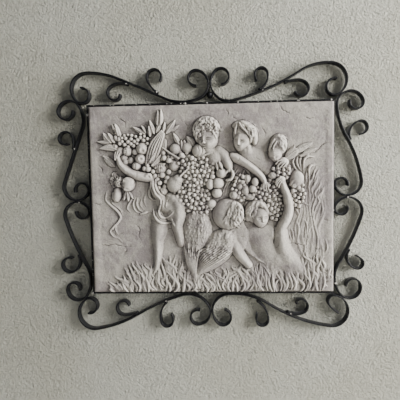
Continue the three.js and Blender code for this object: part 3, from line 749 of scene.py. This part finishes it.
    for x, z, rx, rz, top in ((18, 43, 9, 8.5, 10.5), (11.5, 26, 10.5, 9, 11.5), (-1, 25, 6.5, 9, 11),
                              (10, 10, 8.5, 8, 10.5),
                              (0.5, -8, 8.5, 7.5, 9.5), (3, 37, 4.5, 4, 10), (60, 33, 5.5, 7, 9),
                              (73, 27, 5.5, 7.5, 10.5),
                              (57, 14, 6.5, 8, 9.5), (69, 16, 6.5, 6.5, 10.5), (38, 6, 7.5, 7.5, 9.5),
                              (102, 37, 7.5, 6, 9),
                              (48, 20, 5, 5, 8.5), (86, 20, 4, 5, 9), (64, 3, 9, 5.5, 7), (52, 27, 4, 4, 9),
                              (53, 36, 3.4, 3.4, 9)):
        oval(x, z, rx, rz, top, min(rx, rz) * 1.15, 0, 0.15)
    flow([(24, 42, 2.6, 9), (32, 48, 3, 8.5), (37, 41, 3, 8), (34, 33, 3, 8), (27, 31, 2.6, 8)], 0.7, 0.5)
    seam([(6, 35), (5, 26), (6, 17)], 1.6, 1.4, 11)
    seam([(60, 42), (58, 33), (60, 26)], 1.4, 0.9, 9)
    seam([(56, 22), (54, 14), (56, 6)], 1.4, 0.9, 9)
    seam([(67, 22), (65, 16), (67, 10)], 1.4, 0.9, 9)
    seam([(36, 13), (34, 6), (36, 0)], 1.4, 0.9, 9)
    seam([(100, 42), (103, 37), (108, 33)], 1.2, 0.9, 9)
    seam([(96, 40), (99, 35), (104, 31)], 1.2, 0.9, 9)
    hand(119, 59, 9, 11, ([(116, 62), (110, 60), (107, 56)], [(117, 60), (112, 56), (109.5, 52)],
                          [(120, 58), (116, 53), (113, 49.5)],
                           [(124, 58), (121, 53), (118, 50)]))
    for x, z, r in ((136, 20, 4.2), (143, 17, 3.8), (149, 13, 3.6), (134, 12, 3.8), (150, 21, 2.6)):
        oval(x, z, r, r, 9.5, r * 1.2, 0, 0.1)
    dent(136, 20, 1.5, 1.2, 9)
    flow([(-78, 86, 1.5, 7), (-66, 77, 1.7, 8.5), (-52, 68, 2.0, 9.5)], 0.5, 0.3)
    flow([(-35, 52, 1.5, 11.5), (-43, 45, 1.9, 11.5), (-50, 38, 2.2, 12)], 0.5, 0.3)
    flow([(6, 78, 2.2, 7), (-4, 74, 2.4, 9), (-15, 70, 1.8, 9)], 0.6, 0.3)


def weathering():
    """Years out of doors: an uneven skin, hairline cracks and small pits."""
    g = np.random.default_rng(41)
    for wave, depth in ((60, 0.45), (22, 0.38), (9, 0.24), (3.2, 0.17), (1.5, 0.10)):
        cols, rows = int(2 * HALF_W / wave) + 3, int(2 * HALF_H / wave) + 3
        knots = g.uniform(-1, 1, (rows, cols))
        u = (X + HALF_W) / wave
        v = (Z + HALF_H) / wave
        i, j = v.astype(int), u.astype(int)
        fu, fv = u - j, v - i
        fu, fv = fu * fu * (3 - 2 * fu), fv * fv * (3 - 2 * fv)
        H[:] += depth * ((knots[i, j] * (1 - fu) + knots[i, j + 1] * fu) * (1 - fv)
                        + (knots[i + 1, j] * (1 - fu) + knots[i + 1, j + 1] * fu) * fv)
    cracks = (([(-193, -72), (-178, -75), (-160, -74), (-142, -78), (-112, -77)], 0.8),
              ([(122, -76), (136, -74), (150, -78), (163, -75)], 0.6),
              ([(163, 70), (172, 76), (180, 84), (188, 89), (196, 88)], 1.0),
              ([(112, 152), (118, 143), (128, 137), (133, 128)], 0.6),
              ([(150, 132), (162, 128), (171, 131)], 0.5),
              ([(-153, 141), (-146, 133), (-139, 128), (-141, 118)], 0.8),
              ([(-196, -4), (-188, -6), (-181, -4)], 0.8),
              ([(-42, 128), (-36, 120), (-38, 112)], 0.5),
              ([(26, 148), (30, 140), (28, 132)], 0.5),
              ([(-128, -40), (-120, -48), (-122, -60), (-116, -70)], 0.6),
              ([(82, 118), (90, 108), (88, 96)], 0.5),
              ([(-186, 60), (-180, 52), (-183, 44)], 0.6),
              ([(-150, -90), (-143, -84), (-146, -76)], 0.5))
    for number, (path, depth) in enumerate(cracks):
        crack(path, 1.7, 1.5 * depth, 60 + number)
    for number in range(34):
        x, z = g.uniform(-190, 190), g.uniform(-100, 148)
        way, path = g.uniform(0, 2 * np.pi), []
        for _ in range(4):
            path.append((x, z))
            x, z = x + 5 * np.cos(way), z + 5 * np.sin(way)
            way += g.uniform(-0.9, 0.9)
        crack(path, 1.2, g.uniform(0.3, 0.6), 80 + number)
    for _ in range(700):
        x, z = g.uniform(-196, 196), g.uniform(-151, 151)
        area = window(x, z, 2.6)
        r, depth = g.uniform(0.35, 0.9), g.uniform(0.15, 0.5)
        H[area] -= depth * np.exp(-((X[area] - x) ** 2 + (Z[area] - z) ** 2) / (r * r))


def flatten_top(knee=10.0, keep=0.35):
    """The highest forms are a little flattened, as in a shallow mould."""
    H[:] -= np.clip(soft(H, 6.0) - knee, 0, None) * (1 - keep)


def build_relief():
    background()
    top_child()
    tall_child()
    right_child()
    far_child()
    fruit()
    striding_child()
    striding_arm()
    tall_arm()
    grass()
    reaching_child()
    reaching_arm()
    winged_child()
    flatten_top()
    weathering()


# ---------------------------------------------------------------- panel mesh
PANEL_DEPTH = 24.0
LIP_DROP = 0.9
LIP_WIDTH = 4.0
LIP_SLOPE = 8.0
EDGE_RADIUS = 4.0
TRIANGLES = 192000
FRONT_SLACK = 2.5  # how far behind the rim a point still counts as the panel's front


def border_front(x, z):
    """Distance of the bare panel's front from the wall: rounded edge, lip, slope and field."""
    e = np.minimum(HALF_W - np.abs(x), HALF_H - np.abs(z))
    left = EDGE_RADIUS - np.clip(e, 0, EDGE_RADIUS)
    edge = PANEL_DEPTH - EDGE_RADIUS + np.sqrt(np.clip(EDGE_RADIUS**2 - left**2, 0, None))
    step = np.clip((e - EDGE_RADIUS - LIP_WIDTH) / LIP_SLOPE, 0, 1)
    return edge - LIP_DROP * step * step * (3 - 2 * step)


def new_object(name, verts, faces, material):
    mesh = bpy.data.meshes.new(name)
    mesh.from_pydata(verts, [], faces)
    mesh.materials.append(material)
    obj = bpy.data.objects.new(name, mesh)
    bpy.context.scene.collection.objects.link(obj)
    for polygon in mesh.polygons:
        polygon.use_smooth = True
    return obj


def face_outward(obj):
    """Turn every face of a closed piece outward."""
    bm = bmesh.new()
    bm.from_mesh(obj.data)
    bmesh.ops.recalc_face_normals(bm, faces=bm.faces)
    bm.to_mesh(obj.data)
    bm.free()


def panel_object(material):
    """The whole panel as one closed mesh: relief in front, straight sides, flat back."""
    front = border_front(X, Z) + H
    step = 1
    gx, gz, gf = X[::step, ::step], Z[::step, ::step], front[::step, ::step]
    rows, cols = gx.shape
    verts = np.stack([gx, -gf, gz], -1).reshape(-1, 3)
    index = np.arange(rows * cols).reshape(rows, cols)
    a, b, c, d = index[:-1, :-1], index[:-1, 1:], index[1:, 1:], index[1:, :-1]
    quads = np.stack([a, b, c, d], -1).reshape(-1, 4)
    rim = np.concatenate([index[0, :], index[1:, -1], index[-1, -2::-1], index[-2:0:-1, 0]])
    back = verts[rim].copy()
    back[:, 1] = 0
    n = len(rim)
    first = len(verts)
    verts = np.vstack([verts, back])
    nxt = (np.arange(n) + 1) % n
    walls = np.stack([rim, first + np.arange(n), first + nxt, rim[nxt]], -1)
    mesh = bpy.data.meshes.new("relief")
    faces = quads.tolist() + walls.tolist() + [list(range(first + n - 1, first - 1, -1))]
    mesh.from_pydata((verts * MM).tolist(), [], faces)
    mesh.materials.append(material)
    obj = bpy.data.objects.new("stone_relief", mesh)
    bpy.context.scene.collection.objects.link(obj)
    thin = obj.modifiers.new("thin", "DECIMATE")
    thin.ratio = min(1.0, TRIANGLES / (2 * len(quads) + 3 * n))
    bpy.context.view_layer.objects.active = obj
    with bpy.context.temp_override(object=obj, active_object=obj, selected_objects=[obj]):
        bpy.ops.object.modifier_apply(modifier="thin")
    mesh = obj.data
    for polygon in mesh.polygons:
        polygon.use_smooth = True
    bm = bmesh.new()
    bm.from_mesh(mesh)
    limit = (HALF_W - 0.05) * MM, (HALF_H - 0.05) * MM
    for e in bm.edges:
        if all(abs(v.co.x) > limit[0] or abs(v.co.z) > limit[1] for v in e.verts):
            if len(e.link_faces) == 2 and e.calc_face_angle(0) > 0.6:
                e.smooth = False
    bm.to_mesh(mesh)
    bm.free()
    return obj


# ---------------------------------------------------------------- iron bars
# Each bent bar: its start, its heading in degrees, and its bends as length and turn. Most of these
# numbers were solved by a fit to points read off the photograph.
SCROLLS = {
    "scroll_top_left": ([-217.1, 189.5], 6.5,
                        [[51, -228], [65, -138], [53, -23], [85, -3], [62, 47], [59, 140], [45, 201]]),
    "scroll_top_right": ([208, 193.7], 165, [[53, 227], [66, 140], [54, 40], [121, -20], [73, -141],
                                             [54, -229]]),
    "scroll_bottom_left": ([-217.5, -196], -15,
                           [[52, 228], [76, 155], [79, 23], [83, -15], [55, -81], [44, -118], [43, -195]]),
    "scroll_bottom_right": ([212.3, -195.7], 152,
                            [[21, -26], [26, -140], [82, -174], [111, -25], [72, 39], [66, 128], [52, 218]]),
    "scroll_left_upper": ([-231.7, 152.4], -82,
                          [[46, -204], [46, -133], [40, -52], [96, 1], [67, 172], [47, 227]]),
    "scroll_left_lower": ([-232.4, -18.3], -95,
                          [[44, 217], [65, 165], [90, 12], [54, -64], [50, -155], [35, -181]]),
    "scroll_right_upper": ([228.7, 158.5], -106,
                           [[43, 216], [62, 164], [53, 26], [76, -21], [66, -170], [39, -214]]),
    "scroll_right_lower": ([225.6, -14.8], -68.5,
                           [[41, -223], [71, -176], [88, -15], [58, 72], [54, 166], [33, 159]]),
    "hook_top_left_inner": ([-137.5, 193.2], 159, [[28, 49], [32, 142], [17, 108]]),
    "hook_top_left_outer": ([-87.8, 178.8], 143, [[20, -21], [14, -42], [44, -211]]),
    "hook_top_right_inner": ([124.3, 189.7], 19, [[21, -18], [17, -50], [42, -202]]),
    "hook_top_right_outer": ([83.1, 180.1], 26, [[31, 75], [32, 173], [10, 26]]),
    "hook_bottom_left_inner": ([-131.6, -195.5], -158, [[23, -23], [34, -153], [19, -108]]),
    "hook_bottom_left_outer": ([-80.5, -178.2], -135, [[37, 61], [28, 155], [14, 42]]),
    "hook_bottom_right_inner": ([127.1, -194], -29, [[28, 54], [31, 146], [14, 100]]),
    "hook_bottom_right_outer": ([76.6, -175.8], -32, [[38, -57], [35, -194], [9, 14]]),
    "hook_left_upper": ([-233.1, 88.5], 77, [[21, 33], [33, 160], [21, 125]]),
    "hook_left_lower": ([-230.3, -95.4], -67, [[28, -73], [22, -86], [35, -160]]),
    "hook_right_upper": ([229.8, 96], 120, [[7, -29], [29, -75], [37, -197]]),
    "hook_right_lower": ([228.7, -88.8], -122, [[38, 103], [26, 155], [10, 24]]),
}
BAR_THICK = 3.0
BAR_DEPTH = 12.0
WELD_REACH = 1.6  # bars closer than this are welded there
# pale splashes of mortar on the ironwork: x, z and radius
SPLASHES = ((-207.5, 143.2, 3.4), (-39.3, 160.0, 1.9), (-5.7, 158.5, 1.5), (47.3, 158.5, 1.5),
            (198.2, 159.5, 1.7),
            (-207.5, -160.5, 1.9), (205.3, -145.2, 1.9), (203.3, -21.9, 1.5), (225.7, -1.5, 1.4),
            (-139.2, 193.1, 1.5),
            (-89.2, 177.9, 1.5), (-230.9, 88.2, 1.4), (-225.8, -1.5, 1.4), (87.1, 178.9, 1.3),
            (131.9, -196.2, 1.3),
            (-80.1, -175.8, 1.3))


def stations(start, heading, bends, spacing=1.3):
    """Points and headings along a bent bar."""
    x, z = start
    angle = math.radians(heading)
    out = [(x, z, angle)]
    for length, turn in bends:
        steps = max(2, round(length / spacing))
        bend = math.radians(turn) / steps
        chord = length / steps * math.sin(bend / 2) / (bend / 2)
        for _ in range(steps):
            x += chord * math.cos(angle + bend / 2)
            z += chord * math.sin(angle + bend / 2)
            angle += bend
            out.append((x, z, angle))
    return out


def bar_object(name, line, material, seed):
    """Flat bar along the line: rounded edges, hammered a little uneven, ends cut square."""
    r = np.random.default_rng(seed)
    line = np.asarray(line, float)
    n = len(line)
    length = np.concatenate([[0], np.cumsum(np.hypot(*np.diff(line[:, :2], axis=0).T))])

    def wander(scale, amount):
        knots = int(length[-1] / scale) + 4
        return np.interp(length, np.linspace(0, length[-1], knots), r.uniform(-amount, amount, knots))

    thick = BAR_THICK / 2 + wander(9, 0.12)
    near = BAR_DEPTH - 0.15 + wander(14, 0.15)
    c = 0.7  # width of the rounded corners
    verts, faces = [], []
    for i, (x, z, a) in enumerate(line):
        nx, nz = -math.sin(a), math.cos(a)
        h, d = thick[i], near[i]
        shrink = 1.0 if 0 < i < n - 1 else 0.86
        h *= shrink
        ring = [(-h, c), (-h, d - c), (-h + 0.25 * c, d - 0.25 * c), (-h + c, d), (h - c, d),
                (h - 0.25 * c, d - 0.25 * c),
                (h, d - c), (h, c), (h - 0.25 * c, 0.25 * c), (h - c, 0), (-h + c, 0),
                (-h + 0.25 * c, 0.25 * c)]
        for u, y in ring:
            verts.append(((x + u * nx) * MM, -y * MM, (z + u * nz) * MM))
    nsec = len(ring)
    for i in range(n - 1):
        for k in range(nsec):
            a, b = i * nsec + k, i * nsec + (k + 1) % nsec
            faces.append((a, b, b + nsec, a + nsec))
    faces.append(tuple(range(nsec - 1, -1, -1)))
    faces.append(tuple((n - 1) * nsec + k for k in range(nsec)))
    obj = new_object(name, verts, faces, material)
    bm = bmesh.new()
    bm.from_mesh(obj.data)
    bmesh.ops.recalc_face_normals(bm, faces=bm.faces)
    for e in bm.edges:
        if len(e.link_faces) == 2 and e.calc_face_angle(0) > 1.0:
            e.smooth = False
    bm.to_mesh(obj.data)
    bm.free()
    return obj


# ---------------------------------------------------------------- materials
class Nodes:
    def __init__(self, name):
        self.material = bpy.data.materials.new(name)
        self.material.use_nodes = True
        self.tree = self.material.node_tree
        self.tree.nodes.clear()
        self.out = self.add("ShaderNodeOutputMaterial")
        self.bsdf = self.add("ShaderNodeBsdfPrincipled")
        self.link(self.bsdf.outputs[0], self.out.inputs["Surface"])
        self.where = self.add("ShaderNodeTexCoord").outputs["Object"]

    def add(self, kind, **settings):
        node = self.tree.nodes.new(kind)
        for key, value in settings.items():
            setattr(node, key, value)
        return node

    def link(self, a, b):
        self.tree.links.new(a, b)

    def noise(self, scale, detail=4, rough=0.6, distort=0.0):
        n = self.add("ShaderNodeTexNoise")
        n.inputs["Scale"].default_value = scale
        n.inputs["Detail"].default_value = detail
        n.inputs["Roughness"].default_value = rough
        n.inputs["Distortion"].default_value = distort
        self.link(self.where, n.inputs["Vector"])
        return n.outputs["Fac"]

    def ramp(self, fac, low, high, a=0.0, b=1.0):
        n = self.add("ShaderNodeMapRange")
        n.interpolation_type = "SMOOTHSTEP"
        for key, value in zip(("From Min", "From Max", "To Min", "To Max"), (low, high, a, b)):
            n.inputs[key].default_value = value
        self.link(fac, n.inputs["Value"])
        return n.outputs["Result"]

    def mix(self, fac, a, b, blend="MIX"):
        n = self.add("ShaderNodeMix", data_type="RGBA", blend_type=blend)
        for socket, value in ((n.inputs[0], fac), (n.inputs[6], a), (n.inputs[7], b)):
            if isinstance(value, (int, float)):
                socket.default_value = value
            elif isinstance(value, tuple):
                socket.default_value = (*value, 1)
            else:
                self.link(value, socket)
        return n.outputs[2]

    def math(self, kind, a, b=0.0):
        n = self.add("ShaderNodeMath", operation=kind)
        for socket, value in ((n.inputs[0], a), (n.inputs[1], b)):
            if isinstance(value, (int, float)):
                socket.default_value = value
            else:
                self.link(value, socket)
        return n.outputs[0]

    def bump(self, height, distance, strength=1.0, base=None):
        n = self.add("ShaderNodeBump")
        n.inputs["Strength"].default_value = strength
        n.inputs["Distance"].default_value = distance
        self.link(height, n.inputs["Height"])
        if base is not None:
            self.link(base, n.inputs["Normal"])
        return n.outputs["Normal"]


def stone_material():
    m = Nodes("cast_stone")
    hollow = m.add("ShaderNodeAttribute", attribute_name="hollow").outputs["Fac"]
    proud = m.add("ShaderNodeAttribute", attribute_name="proud").outputs["Fac"]
    stains = m.ramp(m.noise(17, 6, 0.75, 0.3), 0.42, 0.58)
    colour = m.mix(stains, (0.475, 0.445, 0.395), (0.325, 0.292, 0.282))
    bloom = m.ramp(m.noise(48, 5, 0.72, 0.3), 0.52, 0.66)
    colour = m.mix(m.math("MULTIPLY", bloom, 0.7), colour, (0.56, 0.53, 0.475))
    damp = m.ramp(m.noise(34, 6, 0.75, 0.6), 0.55, 0.70)
    colour = m.mix(m.math("MULTIPLY", damp, 0.75), colour, (0.23, 0.21, 0.20))
    specks = m.ramp(m.noise(420, 4, 0.75), 0.50, 0.66)
    colour = m.mix(m.math("MULTIPLY", specks, 0.65), colour, (0.28, 0.26, 0.245))
    pits = m.ramp(m.noise(1000, 2, 0.7), 0.60, 0.72)
    colour = m.mix(m.math("MULTIPLY", pits, 0.7), colour, (0.12, 0.11, 0.10))
    # Paler where the surface stands proud: partly washed stone, partly a painted highlight on the tops of the
    # forms.
    colour = m.mix(m.math("MULTIPLY", m.ramp(proud, 0.05, 0.8), 0.85), colour, (0.74, 0.70, 0.63))
    # Near-black grime and painted shade in the hollows and cracks: partly dirt, partly the shade that falls
    # in recesses.
    uneven = m.ramp(m.noise(90, 5, 0.7), 0.25, 0.6, 0.5, 0.95)
    grime_and_painted_shade = m.math("MULTIPLY", m.ramp(hollow, 0.22, 0.9), uneven)
    colour = m.mix(grime_and_painted_shade, colour, (0.075, 0.068, 0.064))
    m.link(colour, m.bsdf.inputs["Base Color"])
    m.link(m.ramp(m.noise(120, 3), 0.3, 0.7, 0.75, 0.95), m.bsdf.inputs["Roughness"])
    m.bsdf.inputs["Specular IOR Level"].default_value = 0.25
    grain = m.bump(m.noise(1100, 4, 0.75), 0.0005, 0.8)
    m.link(m.bump(m.noise(240, 4, 0.65), 0.0016, 0.8, grain), m.bsdf.inputs["Normal"])
    return m.material


def iron_material():
    m = Nodes("black_iron")
    worn = m.ramp(m.noise(90, 4, 0.65), 0.5, 0.72)
    colour = m.mix(worn, (0.006, 0.0065, 0.008), (0.013, 0.0135, 0.016))
    dust = m.ramp(m.noise(260, 3, 0.6), 0.62, 0.8)
    colour = m.mix(m.math("MULTIPLY", dust, 0.25), colour, (0.06, 0.058, 0.055))
    m.link(colour, m.bsdf.inputs["Base Color"])
    m.bsdf.inputs["Metallic"].default_value = 0.0
    m.bsdf.inputs["Specular IOR Level"].default_value = 0.3
    m.link(m.ramp(m.noise(150, 3), 0.3, 0.7, 0.34, 0.55), m.bsdf.inputs["Roughness"])
    m.link(m.bump(m.noise(300, 3, 0.6), 0.0005, 0.5), m.bsdf.inputs["Normal"])
    return m.material


def wall_material():
    """Pale rendered backdrop, seen from its front only."""
    m = Nodes("pale_wall")
    tint = m.ramp(m.noise(4, 3), 0.35, 0.65)
    colour = m.mix(tint, (0.64, 0.63, 0.53), (0.71, 0.71, 0.62))
    m.link(colour, m.bsdf.inputs["Base Color"])
    m.bsdf.inputs["Roughness"].default_value = 0.95
    m.bsdf.inputs["Specular IOR Level"].default_value = 0.1
    coarse = m.bump(m.noise(330, 3, 0.6), 0.010, 1.0)
    m.link(m.bump(m.noise(160, 3, 0.6), 0.0035, 0.8, coarse), m.bsdf.inputs["Normal"])
    behind = m.add("ShaderNodeNewGeometry").outputs["Backfacing"]
    clear = m.add("ShaderNodeBsdfTransparent")
    shadow = m.add("ShaderNodeLightPath").outputs["Is Shadow Ray"]
    choose = m.add("ShaderNodeMixShader")
    m.link(m.math("MAXIMUM", behind, shadow), choose.inputs[0])
    m.link(m.bsdf.outputs[0], choose.inputs[1])
    m.link(clear.outputs[0], choose.inputs[2])
    m.link(choose.outputs[0], m.out.inputs["Surface"])
    return m.material


def floor_material():
    m = Nodes("pale_floor")
    colour = m.mix(m.ramp(m.noise(6, 3), 0.3, 0.7), (0.60, 0.59, 0.57), (0.64, 0.63, 0.61))
    m.link(colour, m.bsdf.inputs["Base Color"])
    m.bsdf.inputs["Roughness"].default_value = 0.8
    return m.material


def mortar_material():
    m = Nodes("pale_mortar")
    colour = m.mix(m.ramp(m.noise(700, 3, 0.7), 0.35, 0.65), (0.36, 0.35, 0.33), (0.62, 0.60, 0.56))
    m.link(colour, m.bsdf.inputs["Base Color"])
    m.bsdf.inputs["Roughness"].default_value = 0.95
    return m.material


STONE = stone_material()
IRON = iron_material()
DAB = mortar_material()

# ---------------------------------------------------------------- the object
build_relief()
panel = panel_object(STONE)


def hollow_attribute(obj):
    """Grime and painted shade darken where the surface lies below its surroundings, and what stands proud is
    paler: partly washed stone, partly painted highlight.
    """
    # Depth below the surroundings drives the painted shade and grime in the hollows.
    wide = np.clip((soft(H, 3.5) - H) / 4.6, 0, 1) + np.clip((soft(H, 1.2) - H) / 1.1, 0, 1) * 0.9
    co = np.empty(len(obj.data.vertices) * 3)
    obj.data.vertices.foreach_get("co", co)
    co = co.reshape(-1, 3) / MM
    ix = np.clip(((co[:, 0] + HALF_W) / GRID).round().astype(int), 0, X.shape[1] - 1)
    iz = np.clip(((co[:, 2] + HALF_H) / GRID).round().astype(int), 0, X.shape[0] - 1)
    in_front = co[:, 1] < -PANEL_DEPTH + FRONT_SLACK
    value = np.where(in_front, wide[iz, ix], 0.2)
    value = np.maximum(value, STAIN[iz, ix] * 0.9 * in_front)
    layer = obj.data.attributes.new("hollow", "FLOAT", "POINT")
    layer.data.foreach_set("value", np.clip(value, 0, 1).astype("f"))
    # Height above the surroundings: drives the painted highlight and the paler washed stone.
    high = np.clip((H - soft(H, 7.0)) / 6.0, 0, 1) + np.clip((H - soft(H, 1.5)) / 1.2, 0, 1) * 0.4
    layer = obj.data.attributes.new("proud", "FLOAT", "POINT")
    layer.data.foreach_set("value", np.clip(high[iz, ix] * in_front, 0, 1).astype("f"))


hollow_attribute(panel)
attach(panel, "root")
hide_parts("relief_panel")

lines = {}
for number, (name, (start, heading, bends)) in enumerate(SCROLLS.items()):
    lines[name] = np.asarray(stations(start, heading, bends))
    piece = bar_object(name + "_bar", lines[name], IRON, 100 + number)
    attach(piece, "root")
    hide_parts(name)

for number, name in enumerate(("rail_top", "rail_bottom", "rail_left", "rail_right")):
    low, high = box_mm(name)
    mid = (low + high) / 2
    if high.x - low.x > high.z - low.z:
        run = [(low.x + (high.x - low.x) * i / 160, mid.z, 0.0) for i in range(161)]
    else:
        run = [(mid.x, low.z + (high.z - low.z) * i / 120, math.pi / 2) for i in range(121)]
    lines[name] = np.asarray(run)
    piece = bar_object(name + "_bar", run, IRON, 200 + number)
    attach(piece, "root")
    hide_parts(name)


def lump(verts, faces, where, size, seed):
    """Uneven rounded blob with its back sunk into what it sits on."""
    r = np.random.default_rng(seed)
    first = len(verts)
    turns, rings = 10, 5
    phase = r.uniform(0, 2 * math.pi, 3)

    def uneven(theta, phi):
        return (1 + 0.16 * math.sin(2 * theta + phase[0])
                + 0.10 * math.sin(3 * theta + 2 * phi + phase[1])
                + 0.08 * math.sin(5 * phi + phase[2]))

    verts.append((where[0] * MM, -(where[1] + size[1]) * MM, where[2] * MM))
    for i in range(1, rings + 1):
        phi = math.pi * i / (rings + 1)
        for k in range(turns):
            theta = 2 * math.pi * k / turns
            s = uneven(theta, phi)
            verts.append(((where[0] + size[0] * s * math.sin(phi) * math.cos(theta)) * MM,
                          -(where[1] + size[1] * math.cos(phi)) * MM,
                          (where[2] + size[2] * s * math.sin(phi) * math.sin(theta)) * MM))
    verts.append((where[0] * MM, -(where[1] - size[1]) * MM, where[2] * MM))
    last = len(verts) - 1
    for k in range(turns):
        n = (k + 1) % turns
        faces.append((first, first + 1 + n, first + 1 + k))
        for i in range(rings - 1):
            a, b = first + 1 + i * turns + k, first + 1 + i * turns + n
            faces.append((a, b, b + turns, a + turns))
        faces.append((first + 1 + (rings - 1) * turns + k, first + 1 + (rings - 1) * turns + n, last))


def lumps(name, rows, material, seed):
    verts, faces = [], []
    for number, (x, y, z, sx, sy, sz) in enumerate(rows):
        lump(verts, faces, (x, y, z), (sx, sy, sz), seed + number)
    piece = new_object(name, verts, faces, material)
    face_outward(piece)
    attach(piece, "root")
    return piece


# weld beads where each hook springs from its scroll, and where neighbouring bars touch
beads = []
for name, (start, heading, bends) in SCROLLS.items():
    if name.startswith("hook"):
        beads.append((start[0], 7.0, start[1], 2.9, 5.2, 2.5))
mains = [name for name in lines if not name.startswith("hook")]
for i, one in enumerate(mains):
    for other in mains[i + 1:]:
        if one.startswith("rail") and other.startswith("rail"):
            continue
        apart = np.hypot(*(lines[one][:, None, :2] - lines[other][None, :, :2]).transpose(2, 0, 1))
        a, b = np.unravel_index(apart.argmin(), apart.shape)
        if apart[a, b] < BAR_THICK + WELD_REACH:
            x, z = (lines[one][a, :2] + lines[other][b, :2]) / 2
            beads.append((x, 7.0, z, 2.7, 5.0, 2.7))
lumps("weld_beads", beads, IRON, 300)
# pale mortar left on the ironwork
every = np.vstack([line[:, :2] for line in lines.values()])
r = np.random.default_rng(77)
spots = list(SPLASHES)
spots += [(r.uniform(-195, 195), HALF_H + 2, r.uniform(0.7, 1.3)) for _ in range(16)]
spots += [(-HALF_W - 2, r.uniform(-150, 150), r.uniform(0.6, 1.1)) for _ in range(9)]
spots += [(r.uniform(-195, 195), -HALF_H - 2, r.uniform(0.6, 1.0)) for _ in range(7)]
dabs = []
for x, z, s in spots:
    near = every[np.hypot(every[:, 0] - x, every[:, 1] - z).argmin()]
    dabs.append((near[0], BAR_DEPTH - 0.6, near[1], s, 1.3, s * r.uniform(0.6, 1.0)))
lumps("mortar_dabs", dabs, DAB, 340)

# domed boss under the top joint
low, high = box_mm("hanging_boss")
mid, wide = (low + high) / 2, (high.x - low.x) / 2
verts, faces = [], []
turns = 32
depth = high.y - low.y
straight = 0.45  # share of the boss's depth that is a plain cylinder
rows = [(1.0, 0.0), (1.0, straight)]
for k in range(1, 8):
    lean = k * math.pi / 16
    rows.append((math.cos(lean), straight + 0.55 * math.sin(lean)))
for share, along in rows:
    for k in range(turns):
        theta = 2 * math.pi * k / turns
        verts.append(((mid.x + wide * share * math.cos(theta)) * MM,
                      (high.y - depth * along) * MM,
                      (mid.z + wide * share * math.sin(theta)) * MM))
verts.append((mid.x * MM, low.y * MM, mid.z * MM))
for i in range(len(rows) - 1):
    for k in range(turns):
        a, b = i * turns + k, i * turns + (k + 1) % turns
        faces.append((a, b, b + turns, a + turns))
top = (len(rows) - 1) * turns
for k in range(turns):
    faces.append((top + k, top + (k + 1) % turns, len(verts) - 1))
faces.append(tuple(range(turns - 1, -1, -1)))
boss = new_object("boss", verts, faces, IRON)
face_outward(boss)
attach(boss, "root")
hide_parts("hanging_boss")

# ---------------------------------------------------------------- stage
def plane(name, corners, material):
    return new_object(name, corners, [tuple(range(len(corners)))], material)


WALL = 0.0012
FLOOR = -0.75
wall = plane("wall", [(-3, WALL, FLOOR), (3, WALL, FLOOR), (3, WALL, 3), (-3, WALL, 3)], wall_material())
floor = plane("floor", [(-4, -4, FLOOR), (4, -4, FLOOR), (4, 4, FLOOR), (-4, 4, FLOOR)], floor_material())


def area_light(name, where, size, power, colour=(1, 1, 1), target=(0, 0, 0)):
    data = bpy.data.lights.new(name, "AREA")
    data.shape = "RECTANGLE"
    data.size, data.size_y = size
    data.energy = power
    data.color = colour
    obj = bpy.data.objects.new(name, data)
    obj.location = where
    obj.rotation_euler = (Vector(target) - Vector(where)).to_track_quat("-Z", "Y").to_euler()
    bpy.context.scene.collection.objects.link(obj)


area_light("key", (1.60, -0.55, 0.50), (1.2, 1.2), 101, (1.0, 0.985, 0.955))
area_light("fill", (-0.9, -1.6, 0.5), (1.8, 1.4), 1.5, (0.93, 0.96, 1.0))
area_light("rear", (0.3, 1.6, 0.8), (1.4, 1.0), 14)
world = bpy.data.worlds.new("studio")
world.use_nodes = True
world.node_tree.nodes["Background"].inputs[0].default_value = (0.93, 0.95, 1.0, 1)
world.node_tree.nodes["Background"].inputs[1].default_value = 0.13
bpy.context.scene.world = world

# ---------------------------------------------------------------- camera
EYE_POINT = (0.030, -0.649, 0.028)
SENSOR = 36.0
LENS = 34.28
SHIFT = (-0.0275, 0.0135)
AIM = (-2.724, -3.488, -0.916)  # yaw, pitch and roll in degrees
camera_data = bpy.data.cameras.new("camera")
camera_data.sensor_width = SENSOR
camera_data.lens = LENS
camera_data.shift_x, camera_data.shift_y = SHIFT
camera = bpy.data.objects.new("camera", camera_data)
bpy.context.scene.collection.objects.link(camera)
bpy.context.scene.camera = camera

yaw, pitch, roll = (math.radians(v) for v in AIM)
forward = Vector((math.sin(yaw) * math.cos(pitch), math.cos(yaw) * math.cos(pitch), math.sin(pitch)))
turn = forward.to_track_quat("-Z", "Y").to_matrix().to_4x4()
camera.matrix_world = Matrix.Translation(EYE_POINT) @ turn @ Matrix.Rotation(roll, 4, "Z")
